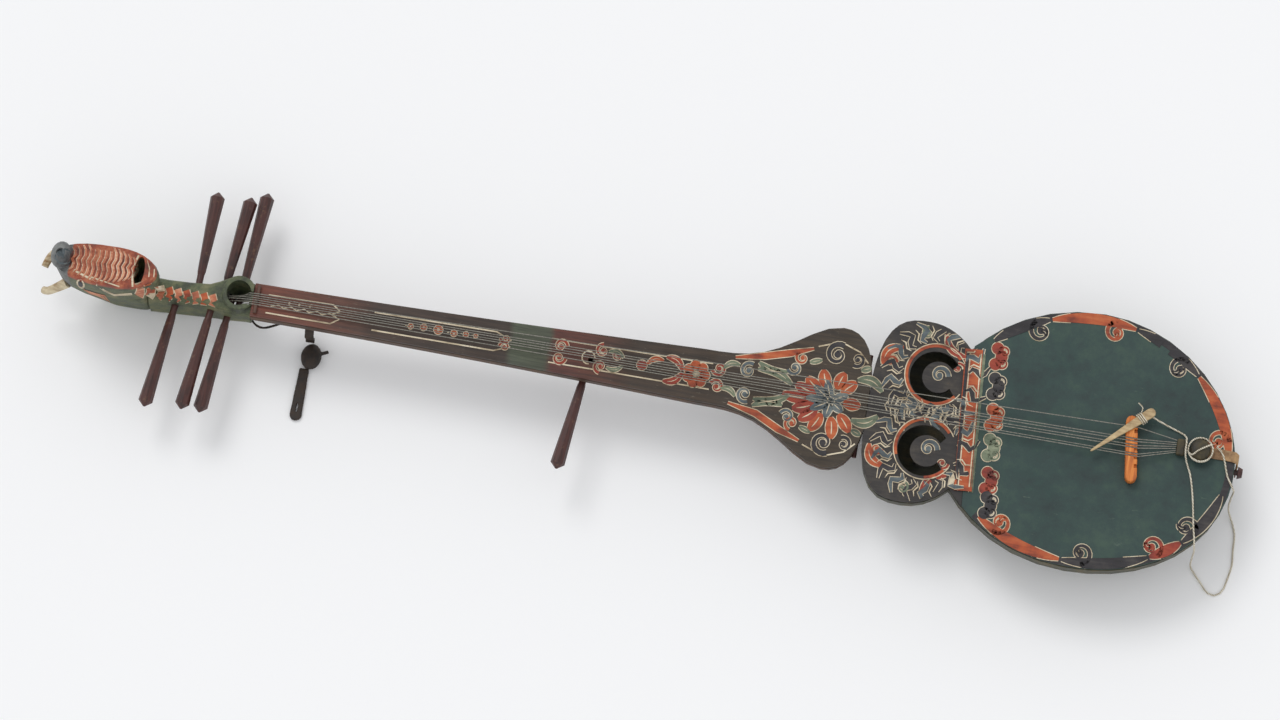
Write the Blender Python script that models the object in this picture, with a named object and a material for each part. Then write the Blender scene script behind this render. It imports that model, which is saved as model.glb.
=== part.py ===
"""A Himalayan long-necked lute (dranyen) with seven strings, lying on its back.

Metres, +Z up. +X runs along the strings to the tail, +Z comes out of the soundboard, and the
origin is on the flat of the bowl's back, under the middle of the round body.
"""

import math

import bmesh
import bpy
from mathutils import Matrix, Vector

# Heights
FRONT_HEIGHT = 0.070        # the skin, waist plate and fingerboard all end at this plane
CLEARANCE = 0.0003          # between pieces that touch
RUNNING_GAP = 0.00035       # round each peg in its hole

# Round body and waist, seen from the front
BODY_HALF_LENGTH = 0.136
BODY_HALF_WIDTH = 0.1185
BODY_DEPTH = 0.0735
BODY_ROUNDNESS = 2.7        # a superellipse power: 2 is round, more is boxier
TAIL_LEAN = 0.0090          # the round body's tail end lies this far to the lower side
WAIST_CENTRE = -0.154
WAIST_HALF_WIDTH = 0.085
WAIST_HEAD_REACH = 0.0445   # from the waist's middle toward the neck
WAIST_TAIL_REACH = 0.063
WAIST_DEPTH = 0.055
WALL = 0.006
END_BLOCK = 0.017           # solid wood behind the neck joint
TAIL_WALL = 0.010
BOWL_FLOOR = 0.007
SEAM = -0.198               # the neck's end face against the waist

# Soundboard pieces
PLATE_THICKNESS = 0.0035
SKIN_THICKNESS = 0.0016
EDGE_INSET = 0.0010
SKIN_EDGE = -0.1065         # where skin and waist plate meet on the middle line
SKIN_EDGE_TURN = math.radians(4.6)
BAND_WIDTH = 0.016
BAND_HALF_LENGTH = 0.0655
BAND_THICKNESS = 0.0012
SOUND_HOLE_RADIUS = 0.0235
SOUND_HOLE_TONGUE = 0.0145
SOUND_HOLE_OFFSET = 0.0025  # the tongue sits toward the tail
SOUND_HOLE_X = -0.1420
SOUND_HOLE_Y = 0.0345
SOUND_HOLE_START = math.radians(38)
SOUND_HOLE_END = math.radians(322)

# Neck
NECK_HEAD_END = -0.7605
NECK_NUT_HALF_WIDTH = 0.0155
NECK_ROOT_HALF_WIDTH = 0.0248
NECK_ROOT = -0.351          # where the flare starts
NECK_DEPTH = 0.034
NECK_HEEL_DEPTH = 0.040
NECK_ROUNDNESS = 2.6
FLARE_PEAK = -0.2305
FLARE_HALF_WIDTH = 0.0655
FLARE_TAIL_REACH = 0.0335
FINGERBOARD_THICKNESS = 0.004
FINGERBOARD_INSET = 0.0004
TENON_LENGTH = 0.0162
TENON_WIDTH = 0.030
TENON_HEIGHT = 0.018
TENON_DROP = 0.010          # the tenon's top under the front plane
DOWEL_X = -0.2025
DOWEL_DROP = 0.016
DOWEL_RADIUS = 0.0022
DOWEL_HALF_LENGTH = 0.048

# Nut and bridge
NUT_X = -0.7565
NUT_LENGTH = 0.0032
NUT_WIDTH = 0.026
NUT_HEIGHT = 0.0030
SLOT_DEPTH = 0.0012
BRIDGE_X = 0.0414
BRIDGE_Y = -0.0032
BRIDGE_TURN = math.radians(7.6)
BRIDGE_LENGTH = 0.061
BRIDGE_WIDTH = 0.0105
BRIDGE_HEIGHT = 0.0100
BRIDGE_NOTCH = 0.0030
BRIDGE_NOTCHES = 5

# Strings
STRING_RADIUS = 0.0004
NUT_SPACING = 0.0020
BRIDGE_LINES = (0.0170, 0.0064, 0.0040, 0.0006, -0.0018, -0.0094)
DRONE_BRIDGE_LINE = -0.0072
TIE_LINES = (0.0112, 0.0090, 0.0072, 0.0054, 0.0036, 0.0001)
DRONE_TIE_LINE = 0.0018
TIE_HEIGHT = 0.0045         # the strings' height at the tie, over the skin
STRING_END = 0.0808

# Pegs: place on the box's middle line, height, turn from square, side, reach
PEG_SHANK_RADIUS = 0.0032
PEG_TIP_RADIUS = 0.0028
PEG_NECK_RADIUS = 0.0038
PEG_HEAD_RADIUS = 0.0066
PEG_COLLAR = 0.0200         # a peg's shoulder, from the pegbox's middle
PEG_POINT = 0.0055
PEG_SEAT_DEPTH = 0.0030     # how far the peg's end goes into the far wall
WINDING_TURNS = 1.5
WINDING_PITCH = 0.00135
WINDING_POINTS = 12
PEGS = (
    ("peg_upper_1", -0.8139, 0.0460, 1.1, 1, 0.0995),
    ("peg_upper_2", -0.7915, 0.0410, 5.4, 1, 0.1015),
    ("peg_upper_3", -0.7756, 0.0365, 3.9, 1, 0.1090),
    ("peg_lower_1", -0.8303, 0.0440, 5.9, -1, 0.1098),
    ("peg_lower_2", -0.7969, 0.0500, 5.8, -1, 0.1078),
    ("peg_lower_3", -0.7817, 0.0440, 5.3, -1, 0.1066),
)
# Which peg each string winds on, from the upper side to the lower
STRING_PEGS = ("peg_upper_3", "peg_upper_2", "peg_upper_1", "peg_lower_1", "peg_lower_2",
               "peg_lower_3")
DRONE_PEG = ("drone_peg", -0.4527, 0.0510, 6.6, -1, 0.1045)
DRONE_HOLE_RADIUS = 0.0028
DRONE_HOLE_X = -0.4500
DRONE_HOLE_Y = -0.0034
DRONE_CHAMBER_RADIUS = 0.0056
DRONE_CHAMBER_LENGTH = 0.0084

# Pegbox: place along X, middle line's Y, half-width, front and back heights
PEGBOX_STATIONS = (
    (-0.7608, 0.0000, 0.0160, 0.0695, 0.0350),
    (-0.7660, 0.0014, 0.0166, 0.0708, 0.0310),
    (-0.7750, 0.0026, 0.0172, 0.0712, 0.0250),
    (-0.7850, 0.0024, 0.0165, 0.0700, 0.0190),
    (-0.7930, 0.0010, 0.0138, 0.0680, 0.0145),
    (-0.8020, -0.0004, 0.0116, 0.0655, 0.0105),
    (-0.8200, -0.0006, 0.0112, 0.0612, 0.0050),
    (-0.8400, -0.0006, 0.0114, 0.0565, 0.0015),
    (-0.8560, -0.0004, 0.0124, 0.0530, 0.0003),
)
PEGBOX_ROUNDNESS = 4.0
CHANNEL_HALF_WIDTH = 0.0062
CHANNEL_HEAD_END = -0.8400
CHANNEL_NECK_END = -0.7640
CHANNEL_ROOF = 0.0050       # wood between the channel and the front
MOUTH_X = -0.7735
MOUTH_Y = 0.0030
COLLAR_WALL = 0.0050
COLLAR_RISE = 0.0025
MOUTH_HALF_LENGTH = 0.0115
MOUTH_HALF_WIDTH = 0.0120
MOUTH_DEPTH = 0.028

# Carved head: height, X of its forehead side and throat side, half-width, throat squareness
HEAD_WIDEST = -0.8830
HEAD_STATIONS = (
    (0.0000, -0.8950, -0.8610, 0.0085, 4.5),
    (0.0050, -0.9000, -0.8563, 0.0112, 6.0),
    (0.0200, -0.9140, -0.8563, 0.0130, 6.0),
    (0.0350, -0.9280, -0.8563, 0.0148, 6.0),
    (0.0480, -0.9350, -0.8563, 0.0163, 6.0),
    (0.0570, -0.9370, -0.8560, 0.0172, 4.0),
    (0.0610, -0.9375, -0.8505, 0.0176, 2.4),
    (0.0680, -0.9380, -0.8462, 0.0182, 2.1),
    (0.0820, -0.9385, -0.8450, 0.0190, 2.0),
    (0.0960, -0.9390, -0.8452, 0.0192, 2.0),
    (0.1035, -0.9380, -0.8470, 0.0185, 2.0),
)
HEAD_ROUNDNESS = 2.7
THROAT_X = -0.8622
THROAT_HALF_LENGTH = 0.0047
THROAT_HALF_WIDTH = 0.0135
THROAT_DEPTH = 0.034
SNOUT_CENTRE = (-0.9335, 0.0020, 0.1060)
SNOUT_RADII = (0.0095, 0.0125, 0.0110)
NOSTRIL_RADIUS = 0.0042
NOSTRIL_DEPTH = 0.006
HORN_ROUTES = (
    ("horn_upper", ((-0.9300, 0.0100, 0.0560), (-0.9420, 0.0165, 0.0480),
                    (-0.9490, 0.0175, 0.0430), (-0.9535, 0.0115, 0.0400),
                    (-0.9555, 0.0050, 0.0390))),
    ("horn_lower", ((-0.9300, -0.0100, 0.0560), (-0.9420, -0.0158, 0.0480),
                    (-0.9480, -0.0178, 0.0440), (-0.9525, -0.0172, 0.0420))),
)
HORN_BASE_RADIUS = 0.0052
HORN_TIP_RADIUS = 0.0034

# Tail: toggle, its cord, strap and pin
TOGGLE_X = 0.1026
TOGGLE_Y = 0.0070
TOGGLE_RADIUS = 0.0092
TOGGLE_HEIGHT = 0.0090
TOGGLE_CORD_RADIUS = 0.0008
TOGGLE_CORD_TURNS = 2
TOGGLE_CORD_PITCH = 0.0023
HOLDER_LENGTH = 0.0078
HOLDER_WIDTH = 0.0150
HOLDER_HEIGHT = 0.0062
STRAP_WIDTH = 0.0100
STRAP_THICKNESS = 0.0014
STRAP_START = 0.0960
PIN_DROP = 0.0090
PIN_Y = -0.0045
PIN_SHAFT_RADIUS = 0.0026
PIN_HEAD_RADIUS = 0.0058
PIN_HEAD_LENGTH = 0.0042
PIN_IN_WOOD = 0.0080

# Plectrum, its lashing and its cord
PLECTRUM_TIP = (0.0054, -0.0122)
PLECTRUM_BUTT = (0.0567, 0.0345)
PLECTRUM_WIDTH = 0.0086
PLECTRUM_TIP_WIDTH = 0.0018
PLECTRUM_THICKNESS = 0.0024
LASHING_RADIUS = 0.00065
LASHING_TURNS = 3
LASHING_PITCH = 0.0019
LASHING_PLACE = 0.80        # along the plectrum from its tip
CORD_RADIUS = 0.0008
CORD_POINTS = 78
CORD_REST = 0.0004          # between the cord and what it lies on

# Leather thong at the neck
THONG_X = -0.7083
THONG_WIDTH = 0.0084
THONG_THICKNESS = 0.0020
THONG_KNOT_CENTRE = (-0.7047, -0.0285, 0.0063)
THONG_KNOT_RADII = (0.0096, 0.0122, 0.0060)
THONG_STUB_TIP = (-0.6900, -0.0215, 0.0065)
THONG_STUB_RADIUS = 0.0016
THONG_LOOP_X = -0.7092
THONG_LOOP_WIDTH = 0.0110
THONG_LOOP_NEAR = -0.0395
THONG_LOOP_FAR = -0.0888
THONG_LOOP_THICKNESS = 0.0030
THONG_SLIT_WIDTH = 0.0014
THONG_SLIT_NEAR = -0.0720
THONG_SLIT_FAR = -0.0810
THONG_LACE_RADIUS = 0.0012

# Values that follow from the ones above
RIM_HEIGHT = FRONT_HEIGHT - SKIN_THICKNESS - CLEARANCE
NECK_TOP = FRONT_HEIGHT - FINGERBOARD_THICKNESS - CLEARANCE
STRING_AT_NUT = FRONT_HEIGHT + NUT_HEIGHT + CLEARANCE + RUNNING_GAP + STRING_RADIUS - SLOT_DEPTH
STRING_AT_BRIDGE = FRONT_HEIGHT + BRIDGE_HEIGHT + CLEARANCE + RUNNING_GAP + STRING_RADIUS - SLOT_DEPTH
STRING_EXIT_X = MOUTH_X + MOUTH_HALF_LENGTH * 0.78
STRING_EXIT_MARGIN = 0.0015
PEG_BY_NAME = {peg[0]: peg for peg in PEGS + (DRONE_PEG,)}


def clear_scene():
    """Remove everything that is in the scene."""
    for obj in list(bpy.data.objects):
        bpy.data.objects.remove(obj, do_unlink=True)


def new_collection(name):
    collection = bpy.data.collections.new(name)
    bpy.context.scene.collection.children.link(collection)
    return collection


clear_scene()
PARTS = new_collection("dranyen")
CUTTERS = new_collection("dranyen_cutters")


def material(name, colour, roughness=0.6, metallic=0.0):
    """A Principled material of one linear colour."""
    made = bpy.data.materials.new(name)
    made.use_nodes = True
    shader = made.node_tree.nodes["Principled BSDF"]
    shader.inputs["Base Color"].default_value = (*colour, 1.0)
    shader.inputs["Roughness"].default_value = roughness
    shader.inputs["Metallic"].default_value = metallic
    return made


NECK_WOOD = material("neck_wood", (0.13, 0.055, 0.030), 0.5)
GREEN_PAINT = material("green_paint", (0.060, 0.075, 0.050), 0.6)
DARK_PAINT = material("dark_paint", (0.030, 0.028, 0.028), 0.55)
PEG_WOOD = material("peg_wood", (0.045, 0.020, 0.016), 0.4)
HIDE = material("painted_hide", (0.040, 0.085, 0.070), 0.65)
ORANGE = material("orange_paint", (0.45, 0.085, 0.020), 0.6)
BRIDGE_WOOD = material("bridge_wood", (0.50, 0.16, 0.020), 0.55)
BONE = material("bone", (0.60, 0.48, 0.32), 0.45)
GUT = material("gut", (0.55, 0.55, 0.50), 0.35)
LEATHER = material("dark_leather", (0.030, 0.018, 0.012), 0.6)
PALE_HIDE = material("pale_hide", (0.42, 0.30, 0.17), 0.7)
CREAM_CORD = material("cream_cord", (0.75, 0.70, 0.58), 0.8)
HORN = material("horn", (0.45, 0.30, 0.14), 0.5)


def add_object(name, mesh, look, collection=None):
    """Link a new object in the parts, or as a hidden cutter."""
    obj = bpy.data.objects.new(name, mesh)
    (collection or PARTS).objects.link(obj)
    if look is not None:
        mesh.materials.append(look)
    if collection is CUTTERS:
        obj.hide_render = True
        obj.display_type = "WIRE"
    return obj


def smooth(obj, angle=math.radians(40)):
    obj.data.shade_smooth()
    obj.data.set_sharp_from_angle(angle=angle)
    return obj


def mesh_from_bmesh(name, shape):
    bmesh.ops.recalc_face_normals(shape, faces=shape.faces)
    mesh = bpy.data.meshes.new(name)
    shape.to_mesh(mesh)
    shape.free()
    return mesh


def loft(name, rings, look, collection=None):
    """One closed solid through rings that have equal counts of points."""
    shape = bmesh.new()
    rows = [[shape.verts.new(point) for point in ring] for ring in rings]
    count = len(rows[0])
    for here, there in zip(rows, rows[1:]):
        for i in range(count):
            j = (i + 1) % count
            shape.faces.new((here[i], here[j], there[j], there[i]))
    shape.faces.new(rows[0])
    shape.faces.new(reversed(rows[-1]))
    return add_object(name, mesh_from_bmesh(name, shape), look, collection)


def slab(name, outline, bottom, top, look, collection=None):
    """A flat outline of (x, y) points drawn up from one height to another."""
    rings = [[(x, y, z) for x, y in outline] for z in (bottom, top)]
    return loft(name, rings, look, collection)


def box(name, low, high, look=None, collection=None):
    """A box between two corners."""
    shape = bmesh.new()
    size = [b - a for a, b in zip(low, high)]
    middle = [(a + b) / 2 for a, b in zip(low, high)]
    place = Matrix.Translation(middle) @ Matrix.Diagonal((*size, 1.0))
    bmesh.ops.create_cube(shape, size=1.0, matrix=place)
    return add_object(name, mesh_from_bmesh(name, shape), look, collection)


def rod(name, start, end, radius_start, radius_end, look=None, collection=None, sides=24):
    """A straight round rod or cone between two points."""
    start = Vector(start)
    end = Vector(end)
    along = end - start
    turn = along.to_track_quat("Z", "Y").to_matrix().to_4x4()
    place = Matrix.Translation((start + end) / 2) @ turn
    shape = bmesh.new()
    bmesh.ops.create_cone(shape, cap_ends=True, segments=sides, radius1=radius_start,
                          radius2=radius_end, depth=along.length, matrix=place)
    return add_object(name, mesh_from_bmesh(name, shape), look, collection)


def ball(name, centre, radii, look=None, collection=None, segments=20, rings=12):
    """An ellipsoid."""
    shape = bmesh.new()
    place = Matrix.Translation(centre) @ Matrix.Diagonal((*radii, 1.0))
    bmesh.ops.create_uvsphere(shape, u_segments=segments, v_segments=rings, radius=1.0,
                              matrix=place)
    return add_object(name, mesh_from_bmesh(name, shape), look, collection)


def tube(name, points, radius, look, resolution=1, radii=None, collection=None):
    """A round tube through the points, with closed ends, as a mesh."""
    curve = bpy.data.curves.new(name, "CURVE")
    curve.dimensions = "3D"
    curve.bevel_depth = radius
    curve.bevel_resolution = resolution
    curve.use_fill_caps = True
    spline = curve.splines.new("POLY")
    spline.points.add(len(points) - 1)
    for i, point in enumerate(points):
        spline.points[i].co = (*point, 1.0)
        spline.points[i].radius = radii[i] / radius if radii else 1.0
    source = bpy.data.objects.new(name + "_curve", curve)
    bpy.context.scene.collection.objects.link(source)
    bpy.context.view_layer.update()
    evaluated = source.evaluated_get(bpy.context.evaluated_depsgraph_get())
    mesh = bpy.data.meshes.new_from_object(evaluated)
    bpy.data.objects.remove(source, do_unlink=True)
    shape = bmesh.new()
    shape.from_mesh(mesh)
    bmesh.ops.remove_doubles(shape, verts=shape.verts, dist=1e-6)
    mesh = mesh_from_bmesh(name, shape)
    mesh.materials.clear()
    return add_object(name, mesh, look, collection)


def combine(obj, other, operation):
    """Cut or join another object into this one, exactly, and keep the result as its mesh."""
    modifier = obj.modifiers.new(operation.lower(), "BOOLEAN")
    modifier.operation = operation
    modifier.solver = "EXACT"
    modifier.object = other
    bpy.context.view_layer.update()
    evaluated = obj.evaluated_get(bpy.context.evaluated_depsgraph_get())
    mesh = bpy.data.meshes.new_from_object(evaluated)
    obj.modifiers.clear()
    old = obj.data
    look = old.materials[0] if old.materials else None
    obj.data = mesh
    mesh.materials.clear()
    if look is not None:
        mesh.materials.append(look)
    bpy.data.meshes.remove(old)
    bpy.data.objects.remove(other, do_unlink=True)
    return obj


def cut(obj, *cutters):
    for cutter in cutters:
        combine(obj, cutter, "DIFFERENCE")
    return obj


def join(obj, *others):
    for other in others:
        combine(obj, other, "UNION")
    return obj


def bevel(obj, width, segments=2):
    """Round the sharp edges, and keep the result as its mesh."""
    shape = bmesh.new()
    shape.from_mesh(obj.data)
    sharp = [edge for edge in shape.edges
             if len(edge.link_faces) == 2 and edge.calc_face_angle(0.0) > math.radians(35)]
    bmesh.ops.bevel(shape, geom=sharp, offset=width, segments=segments, affect="EDGES",
                    profile=0.5, clamp_overlap=True)
    look = obj.data.materials[0]
    mesh = mesh_from_bmesh(obj.name, shape)
    mesh.materials.append(look)
    obj.data = mesh
    return obj


def smooth_route(points, count):
    """Evenly spaced points on a smooth curve through the given points."""
    knots = [Vector(point) for point in points]
    ends = [2 * knots[0] - knots[1], *knots, 2 * knots[-1] - knots[-2]]
    fine = []
    for a, b, c, d in zip(ends, ends[1:], ends[2:], ends[3:]):
        for step in range(12):
            t = step / 12
            fine.append(0.5 * ((2 * b) + (c - a) * t + (2 * a - 5 * b + 4 * c - d) * t ** 2
                               + (3 * b - a - 3 * c + d) * t ** 3))
    fine.append(knots[-1])
    lengths = [0.0]
    for a, b in zip(fine, fine[1:]):
        lengths.append(lengths[-1] + (b - a).length)
    route = []
    place = 0
    for i in range(count):
        wanted = lengths[-1] * i / (count - 1)
        while place < len(fine) - 2 and lengths[place + 1] < wanted:
            place += 1
        span = lengths[place + 1] - lengths[place]
        route.append(fine[place].lerp(fine[place + 1], (wanted - lengths[place]) / span))
    return route


def least_gap(points, radius, turn_points):
    """The least distance between a tube's surface and its own next turns."""
    gaps = []
    for i, here in enumerate(points):
        for there in points[i + turn_points * 2 // 3:]:
            gaps.append((Vector(there) - Vector(here)).length - 2 * radius)
    return min(gaps)


def rounded(share, power):
    """The height of a superellipse of radius 1 at this share of its half-length."""
    return max(0.0, 1.0 - min(1.0, abs(share)) ** power) ** (1.0 / power)


def lobe(x, centre, head_reach, tail_reach):
    """How far x is along its side of a lobe, from 0 in the middle to 1 at the end."""
    reach = head_reach if x < centre else tail_reach
    return (x - centre) / reach


def bowl_half_width(x, inset=0.0):
    """Half the bowl's width at x; an inset gives the chamber inside."""
    body = (BODY_HALF_WIDTH - inset) * rounded(x / (BODY_HALF_LENGTH - inset), 2.0)
    share = lobe(x, WAIST_CENTRE, WAIST_HEAD_REACH - inset, WAIST_TAIL_REACH - inset)
    waist = (WAIST_HALF_WIDTH - inset) * rounded(share, 3.0 if x < WAIST_CENTRE else 2.0)
    return max(body, waist)


def bowl_middle(x):
    """The Y of the bowl's middle line at x: the carving leans to one side at the tail."""
    return -TAIL_LEAN * max(x / BODY_HALF_LENGTH, 0.0) ** 1.6


def bowl_depth(x, inset=0.0):
    """The bowl's depth under its rim at x."""
    body = (BODY_DEPTH - inset) * rounded(x / (BODY_HALF_LENGTH - inset), BODY_ROUNDNESS)
    share = lobe(x, WAIST_CENTRE, WAIST_HEAD_REACH - inset, WAIST_TAIL_REACH - inset)
    swell = rounded(share, 3.0)
    if x < WAIST_CENTRE:
        waist = NECK_HEEL_DEPTH + (WAIST_DEPTH - NECK_HEEL_DEPTH) * swell - inset
    else:
        waist = (WAIST_DEPTH - inset) * swell
    return max(body, waist)


def neck_half_width(x):
    """Half the neck's width at x, from the nut to the end of its flare."""
    if x <= NECK_ROOT:
        share = (x - NECK_HEAD_END) / (NECK_ROOT - NECK_HEAD_END)
        grown = share ** 1.6
        return NECK_NUT_HALF_WIDTH + (NECK_ROOT_HALF_WIDTH - NECK_NUT_HALF_WIDTH) * grown
    if x <= FLARE_PEAK:
        share = ((x - NECK_ROOT) / (FLARE_PEAK - NECK_ROOT)) ** 1.65
        ease = (1.0 - math.cos(math.pi * share)) / 2.0
        return NECK_ROOT_HALF_WIDTH + (FLARE_HALF_WIDTH - NECK_ROOT_HALF_WIDTH) * ease
    return FLARE_HALF_WIDTH * rounded((x - FLARE_PEAK) / FLARE_TAIL_REACH, 2.5)


def neck_depth(x):
    """The neck's thickness under the fingerboard at x."""
    share = (x - NECK_HEAD_END) / (SEAM - NECK_HEAD_END)
    ease = (1.0 - math.cos(math.pi * share ** 2)) / 2.0
    return NECK_DEPTH - FINGERBOARD_THICKNESS + (NECK_HEEL_DEPTH - NECK_DEPTH) * ease


def cosine_places(start, end, count, ease_start=True, ease_end=True):
    """Places from start to end, closer together at the eased ends."""
    places = []
    for i in range(count):
        t = i / (count - 1)
        if ease_start and ease_end:
            t = (1.0 - math.cos(math.pi * t)) / 2.0
        elif ease_end:
            t = math.sin(math.pi / 2.0 * t)
        elif ease_start:
            t = 1.0 - math.cos(math.pi / 2.0 * t)
        places.append(start + (end - start) * t)
    return places


def d_section(x, half_width, top, depth, power, count, floor=None, middle=0.0):
    """A half-round section open at the top, from the +Y rim round the back to the -Y rim."""
    points = []
    for i in range(count + 1):
        angle = math.pi * i / count
        side = math.copysign(abs(math.cos(angle)) ** (2.0 / power), math.cos(angle))
        drop = math.sin(angle) ** (2.0 / power) if 0 < i < count else 0.0
        z = top - depth * drop
        points.append((x, middle + half_width * side, z if floor is None else max(z, floor)))
    return points


def find_notch(width_function, low, high):
    """The narrowest place between two others."""
    steps = 200
    places = [low + (high - low) * i / steps for i in range(steps + 1)]
    return min(places, key=width_function)


def bowl_places(inset, start, end):
    """Stations of the bowl from the neck joint to the tail, with one in the notch."""
    notch = find_notch(lambda x: bowl_half_width(x, inset), WAIST_CENTRE, 0.0)
    head = cosine_places(start, WAIST_CENTRE, 7, ease_end=False)
    middle = cosine_places(WAIST_CENTRE, notch, 5, ease_start=False, ease_end=False)
    near = cosine_places(notch, 0.0, 8, ease_end=False)
    tail = cosine_places(0.0, end, 11, ease_start=False)
    return head + middle[1:] + near[1:] + tail[1:]


def make_bowl():
    """The body carved from one block: round bowl and waist, hollow, open at the front."""
    outer_places = bowl_places(0.0, SEAM, BODY_HALF_LENGTH * 0.9975)
    inner_places = bowl_places(WALL, SEAM + END_BLOCK, BODY_HALF_LENGTH - TAIL_WALL)
    sides = 16
    outer = [d_section(x, bowl_half_width(x), RIM_HEIGHT, bowl_depth(x), BODY_ROUNDNESS, sides,
                       0.0, bowl_middle(x)) for x in outer_places]
    inner = [d_section(x, bowl_half_width(x, WALL), RIM_HEIGHT, bowl_depth(x, WALL),
                       BODY_ROUNDNESS, sides, BOWL_FLOOR, bowl_middle(x))
             for x in inner_places]
    shape = bmesh.new()
    out = [[shape.verts.new(point) for point in row] for row in outer]
    inn = [[shape.verts.new(point) for point in row] for row in inner]
    for rows in (out, inn):
        for here, there in zip(rows, rows[1:]):
            for i in range(sides):
                shape.faces.new((here[i], here[i + 1], there[i + 1], there[i]))
        shape.faces.new(rows[0])
        shape.faces.new(rows[-1])
    for i in range(len(out) - 1):
        for end in (0, sides):
            shape.faces.new((out[i][end], out[i + 1][end], inn[i + 1][end], inn[i][end]))
    for row in (0, -1):
        shape.faces.new((out[row][0], inn[row][0], inn[row][sides], out[row][sides]))
    bowl = add_object("body_bowl", mesh_from_bmesh("body_bowl", shape), GREEN_PAINT)
    tenon_top = FRONT_HEIGHT - TENON_DROP + CLEARANCE
    mortise = box("mortise_cutter",
                  (SEAM - 0.01, -TENON_WIDTH / 2 - CLEARANCE,
                   tenon_top - TENON_HEIGHT - 2 * CLEARANCE),
                  (SEAM + END_BLOCK + 0.01, TENON_WIDTH / 2 + CLEARANCE, tenon_top),
                  None, CUTTERS)
    seat = turned_box("plate_seat_cutter", SEAM - 0.1, SKIN_EDGE, 0.3,
                      FRONT_HEIGHT - PLATE_THICKNESS - CLEARANCE, FRONT_HEIGHT + 0.01)
    pin_height = FRONT_HEIGHT - PIN_DROP
    pin_hole = rod("pin_cutter", (BODY_HALF_LENGTH - PIN_IN_WOOD - CLEARANCE, PIN_Y, pin_height),
                   (BODY_HALF_LENGTH + 0.02, PIN_Y, pin_height), PIN_SHAFT_RADIUS + CLEARANCE,
                   PIN_SHAFT_RADIUS + CLEARANCE, None, CUTTERS, 16)
    cut(bowl, mortise, seat, pin_hole)
    smooth(bowl)


def turned_box(name, low_x, high_x, half_length, bottom, top, look=None, collection=None):
    """A box whose +X or -X side follows the skin's slanting edge."""
    turn = Matrix.Rotation(SKIN_EDGE_TURN, 4, "Z")
    pivot = Matrix.Translation((SKIN_EDGE, 0.0, 0.0))
    cutter = box(name, (low_x - SKIN_EDGE, -half_length, bottom),
                 (high_x - SKIN_EDGE, half_length, top), look, collection or CUTTERS)
    cutter.data.transform(pivot @ turn)
    return cutter


def front_outline(places, inset):
    """The bowl's front outline, set in from its edge, as (x, y) points."""
    halves = [(x, bowl_middle(x), max(bowl_half_width(x) - inset, 0.0005)) for x in places]
    upper = [(x, middle + half) for x, middle, half in halves]
    return upper + [(x, middle - half) for x, middle, half in reversed(halves)]


def make_plate():
    """The wooden top of the waist, with its two C-shaped sound holes."""
    past = SKIN_EDGE + 0.03
    notch = find_notch(bowl_half_width, WAIST_CENTRE, 0.0)
    places = (cosine_places(SEAM + CLEARANCE, WAIST_CENTRE, 10, ease_end=False)
              + cosine_places(WAIST_CENTRE, notch, 8, ease_start=False, ease_end=False)[1:]
              + cosine_places(notch, past, 4, ease_start=False, ease_end=False)[1:])
    bottom = FRONT_HEIGHT - PLATE_THICKNESS
    plate = slab("waist_plate", front_outline(places, EDGE_INSET), bottom, FRONT_HEIGHT,
                 DARK_PAINT)
    trim = turned_box("plate_trim_cutter", SKIN_EDGE - CLEARANCE / 2, SKIN_EDGE + 0.2, 0.3,
                      bottom - 0.01, FRONT_HEIGHT + 0.01)
    cut(plate, trim)
    for side in (1, -1):
        cut(plate, sound_hole_cutter(side))


def sound_hole_cutter(side):
    """A C open toward the tail: an arc of a ring with its inner disc set off centre."""
    steps = 22
    angles = [SOUND_HOLE_START + (SOUND_HOLE_END - SOUND_HOLE_START) * i / steps
              for i in range(steps + 1)]
    outer = [(SOUND_HOLE_RADIUS * math.cos(a), SOUND_HOLE_RADIUS * math.sin(a)) for a in angles]
    inner = [(SOUND_HOLE_OFFSET + SOUND_HOLE_TONGUE * math.cos(a),
              SOUND_HOLE_TONGUE * math.sin(a)) for a in reversed(angles)]
    outline = [(SOUND_HOLE_X + x, side * (SOUND_HOLE_Y + y)) for x, y in outer + inner]
    return slab("sound_hole_cutter", outline, FRONT_HEIGHT - PLATE_THICKNESS - 0.01,
                FRONT_HEIGHT + 0.01, None, CUTTERS)


def make_skin():
    """The skin stretched over the round body, and the painted band over its straight edge."""
    places = cosine_places(SKIN_EDGE - 0.02, 0.0, 12, ease_start=False, ease_end=False)
    places += cosine_places(0.0, BODY_HALF_LENGTH - EDGE_INSET, 16, ease_start=False)[1:]
    bottom = FRONT_HEIGHT - SKIN_THICKNESS
    skin = slab("skin_head", front_outline(places, EDGE_INSET), bottom, FRONT_HEIGHT, HIDE)
    trim = turned_box("skin_trim_cutter", SKIN_EDGE - 0.2, SKIN_EDGE + CLEARANCE / 2, 0.3,
                      bottom - 0.01, FRONT_HEIGHT + 0.01)
    cut(skin, trim)
    band_bottom = FRONT_HEIGHT + CLEARANCE
    turned_box("skin_band", SKIN_EDGE - BAND_WIDTH / 2, SKIN_EDGE + BAND_WIDTH / 2,
               BAND_HALF_LENGTH, band_bottom, band_bottom + BAND_THICKNESS, ORANGE, PARTS)


def neck_places():
    """Stations of the neck from the nut end to the seam."""
    shaft = cosine_places(NECK_HEAD_END, NECK_ROOT, 8, ease_start=False, ease_end=False)
    flare = cosine_places(NECK_ROOT, FLARE_PEAK, 10, ease_start=False, ease_end=False)
    turn = cosine_places(FLARE_PEAK, SEAM - CLEARANCE, 8, ease_start=False)
    return shaft + flare[1:] + turn[1:]


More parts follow.
